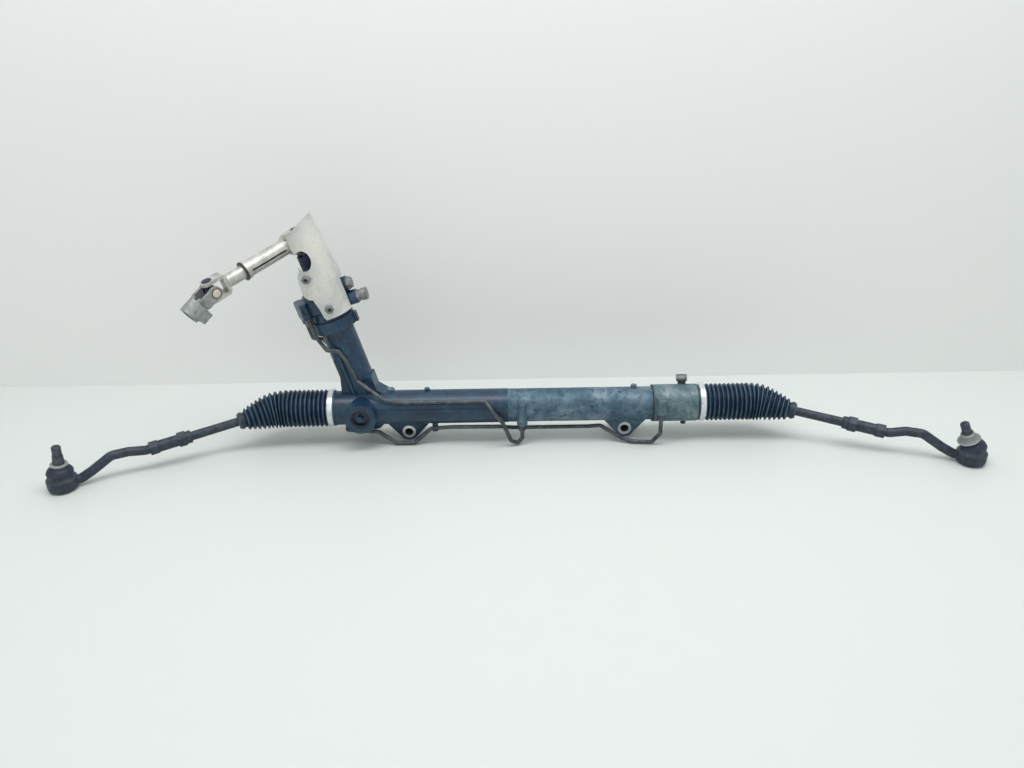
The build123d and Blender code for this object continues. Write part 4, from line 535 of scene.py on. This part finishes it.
# dark rings at both ends of the end sleeve, and painted shade as a near-black ring for the groove round the
# yoke plug
SLEEVE_RINGS = {"sleeve_edge": (202.0, 1.0, 27.3), "sleeve_seal": (267.8, 0.9, 27.5)}   # x, width, radius
RING_BORE = 24.0
PLUG_FACE = Vector((-229.0, -37.0, RACK_LIFT))
for name, (x, width, radius) in SLEEVE_RINGS.items():
    turned(name, on_axis(x), OUT, [(0, RING_BORE), (0, radius), (width, radius), (width, RING_BORE)], shade_and_joint_black,
           "housing", 96)
turned("plug_groove", PLUG_FACE, FRONT,
       [(-0.1, 10.6), (0.05, 10.6), (0.05, 14.6), (-0.1, 14.6)], shade_and_joint_black, "housing", 64)

# painted shade on the walls of the bolt holes, heads of the shield's bolts with painted shade in their
# sockets, and the breather's cap
for side, sign in SIDES.items():
    turned(f"bolt_bore_{side}", Vector((sign * BOLT_SPACING / 2, 0, 0)), FRONT,
           [(-44.7, 6.09), (-44.7, 5.98), (-0.4, 5.98), (-0.4, 6.09)], shade_and_joint_black, "housing")
for name, (turn, height, stand) in SHIELD_BOLTS.items():
    facing = TOWER_SIDE * cos(radians(turn)) + BACK * sin(radians(turn))
    seat = TOWER_FOOT + TOWER_DIR * height + facing * stand
    turned(f"shield_bolt_head_{name}", seat, facing, [(1.25, 6.7), (4.9, 6.7), (5.5, 6.0), (5.5, 0)],
           bolt_steel, "housing", 6)
    turned(f"shield_bolt_recess_{name}", seat, facing, [(5.4, 2.6), (5.56, 2.6), (5.56, 0)], shade_and_joint_black,
           "housing", 24)
vent_up = Vector((0, sin(VENT_TURN), cos(VENT_TURN)))
turned("breather_cap", on_axis(VENT_X) + vent_up * VENT_R, vent_up,
       [(7.5, 7.6), (7.6, 8.2), (13.0, 8.3), (14.6, 7.4), (15.5, 5.2), (15.8, 2.6), (15.9, 0)], dusty_rubber,
       "housing")


# ---------------------------------------------------------------- floor, wall, light, camera
def plain(name, colour, roughness, specular):
    """Even material for the floor and the wall."""
    material = bpy.data.materials.new(name)
    material.use_nodes = True
    shader = material.node_tree.nodes["Principled BSDF"]
    shader.inputs["Base Color"].default_value = colour
    shader.inputs["Roughness"].default_value = roughness
    shader.inputs["Specular IOR Level"].default_value = specular
    return material


def front_only(material):
    """Let a backdrop be seen through from its back."""
    tree = material.node_tree
    side = tree.nodes.new("ShaderNodeNewGeometry")
    clear = tree.nodes.new("ShaderNodeBsdfTransparent")
    choice = tree.nodes.new("ShaderNodeMixShader")
    tree.links.new(side.outputs["Backfacing"], choice.inputs["Fac"])
    tree.links.new(tree.nodes["Principled BSDF"].outputs["BSDF"], choice.inputs[1])
    tree.links.new(clear.outputs["BSDF"], choice.inputs[2])
    tree.links.new(choice.outputs["Shader"], tree.nodes["Material Output"].inputs["Surface"])
    return material


def slab(name, corners, material):
    """Flat stage through four corners, in metres."""
    mesh = bpy.data.meshes.new(name)
    mesh.from_pydata([Vector(c) for c in corners], [], [(0, 1, 2, 3)])
    mesh.materials.append(material)
    made = bpy.data.objects.new(name, mesh)
    bpy.context.scene.collection.objects.link(made)


WALL_Y, WALL_TOP = 0.2106, 4.0
FLOOR_Z = GROUND * MM - 0.0002
REACH = 8.0
slab("floor", [(-REACH, -REACH, FLOOR_Z), (REACH, -REACH, FLOOR_Z), (REACH, REACH, FLOOR_Z),
               (-REACH, REACH, FLOOR_Z)], plain("pale_glass_table", linear(216, 221, 218), 0.4, 0.35))
slab("wall", [(-REACH, WALL_Y, FLOOR_Z), (REACH, WALL_Y, FLOOR_Z), (REACH, WALL_Y, WALL_TOP),
              (-REACH, WALL_Y, WALL_TOP)],
     front_only(plain("off_white_wall", linear(244, 245, 243), 0.8, 0.2)))

world = bpy.data.worlds.new("studio")
bpy.context.scene.world = world
world.use_nodes = True
background = world.node_tree.nodes["Background"]
background.inputs["Color"].default_value = (0.95, 0.98, 1.0, 1)
background.inputs["Strength"].default_value = 0.46
# past the wall's ends the studio is as pale as the wall, to the eye and in reflections
tree = world.node_tree
pale = tree.nodes.new("ShaderNodeBackground")
pale.inputs["Color"].default_value = linear(226, 231, 229)
rays = tree.nodes.new("ShaderNodeLightPath")
seen = rays.outputs["Is Camera Ray"]
for ray in ("Is Glossy Ray", "Is Transmission Ray"):
    either = tree.nodes.new("ShaderNodeMath")
    either.operation = "MAXIMUM"
    tree.links.new(seen, either.inputs[0])
    tree.links.new(rays.outputs[ray], either.inputs[1])
    seen = either.outputs["Value"]
choice = tree.nodes.new("ShaderNodeMixShader")
tree.links.new(seen, choice.inputs["Fac"])
tree.links.new(background.outputs["Background"], choice.inputs[1])
tree.links.new(pale.outputs["Background"], choice.inputs[2])
tree.links.new(choice.outputs["Shader"], tree.nodes["World Output"].inputs["Surface"])


def lamp(name, place, aim, size, power):
    """Soft lamp of a width and depth in metres, turned to a point."""
    data = bpy.data.lights.new(name, "AREA")
    data.shape = "RECTANGLE"
    data.size, data.size_y = size
    data.energy = power
    made = bpy.data.objects.new(name, data)
    made.location = place
    made.rotation_euler = (Vector(aim) - Vector(place)).to_track_quat("-Z", "Y").to_euler()
    bpy.context.scene.collection.objects.link(made)


lamp("overhead", (0.1, -0.4, 1.9), (0, 0.05, 0), (2.6, 0.7), 29)
lamp("front_fill", (-0.9, -2.2, 1.3), (0, 0, 0.05), (1.6, 1.2), 3.2)

CAMERA_PLACE = Vector((-6.25, -1200.8, 652.6))
CAMERA_ROLL = -0.0163
camera = bpy.data.cameras.new("camera")
camera.lens, camera.sensor_width = 31.64, 36
camera.clip_end = 50
camera_object = bpy.data.objects.new("camera", camera)
camera_object.matrix_world = (Matrix.Translation(CAMERA_PLACE * MM)
                              @ Matrix.Rotation(radians(90) - CAMERA_FALL, 4, "X")
                              @ Matrix.Rotation(CAMERA_ROLL, 4, "Z"))
bpy.context.scene.collection.objects.link(camera_object)
bpy.context.scene.camera = camera_object
bpy.context.scene.view_settings.view_transform = "Standard"
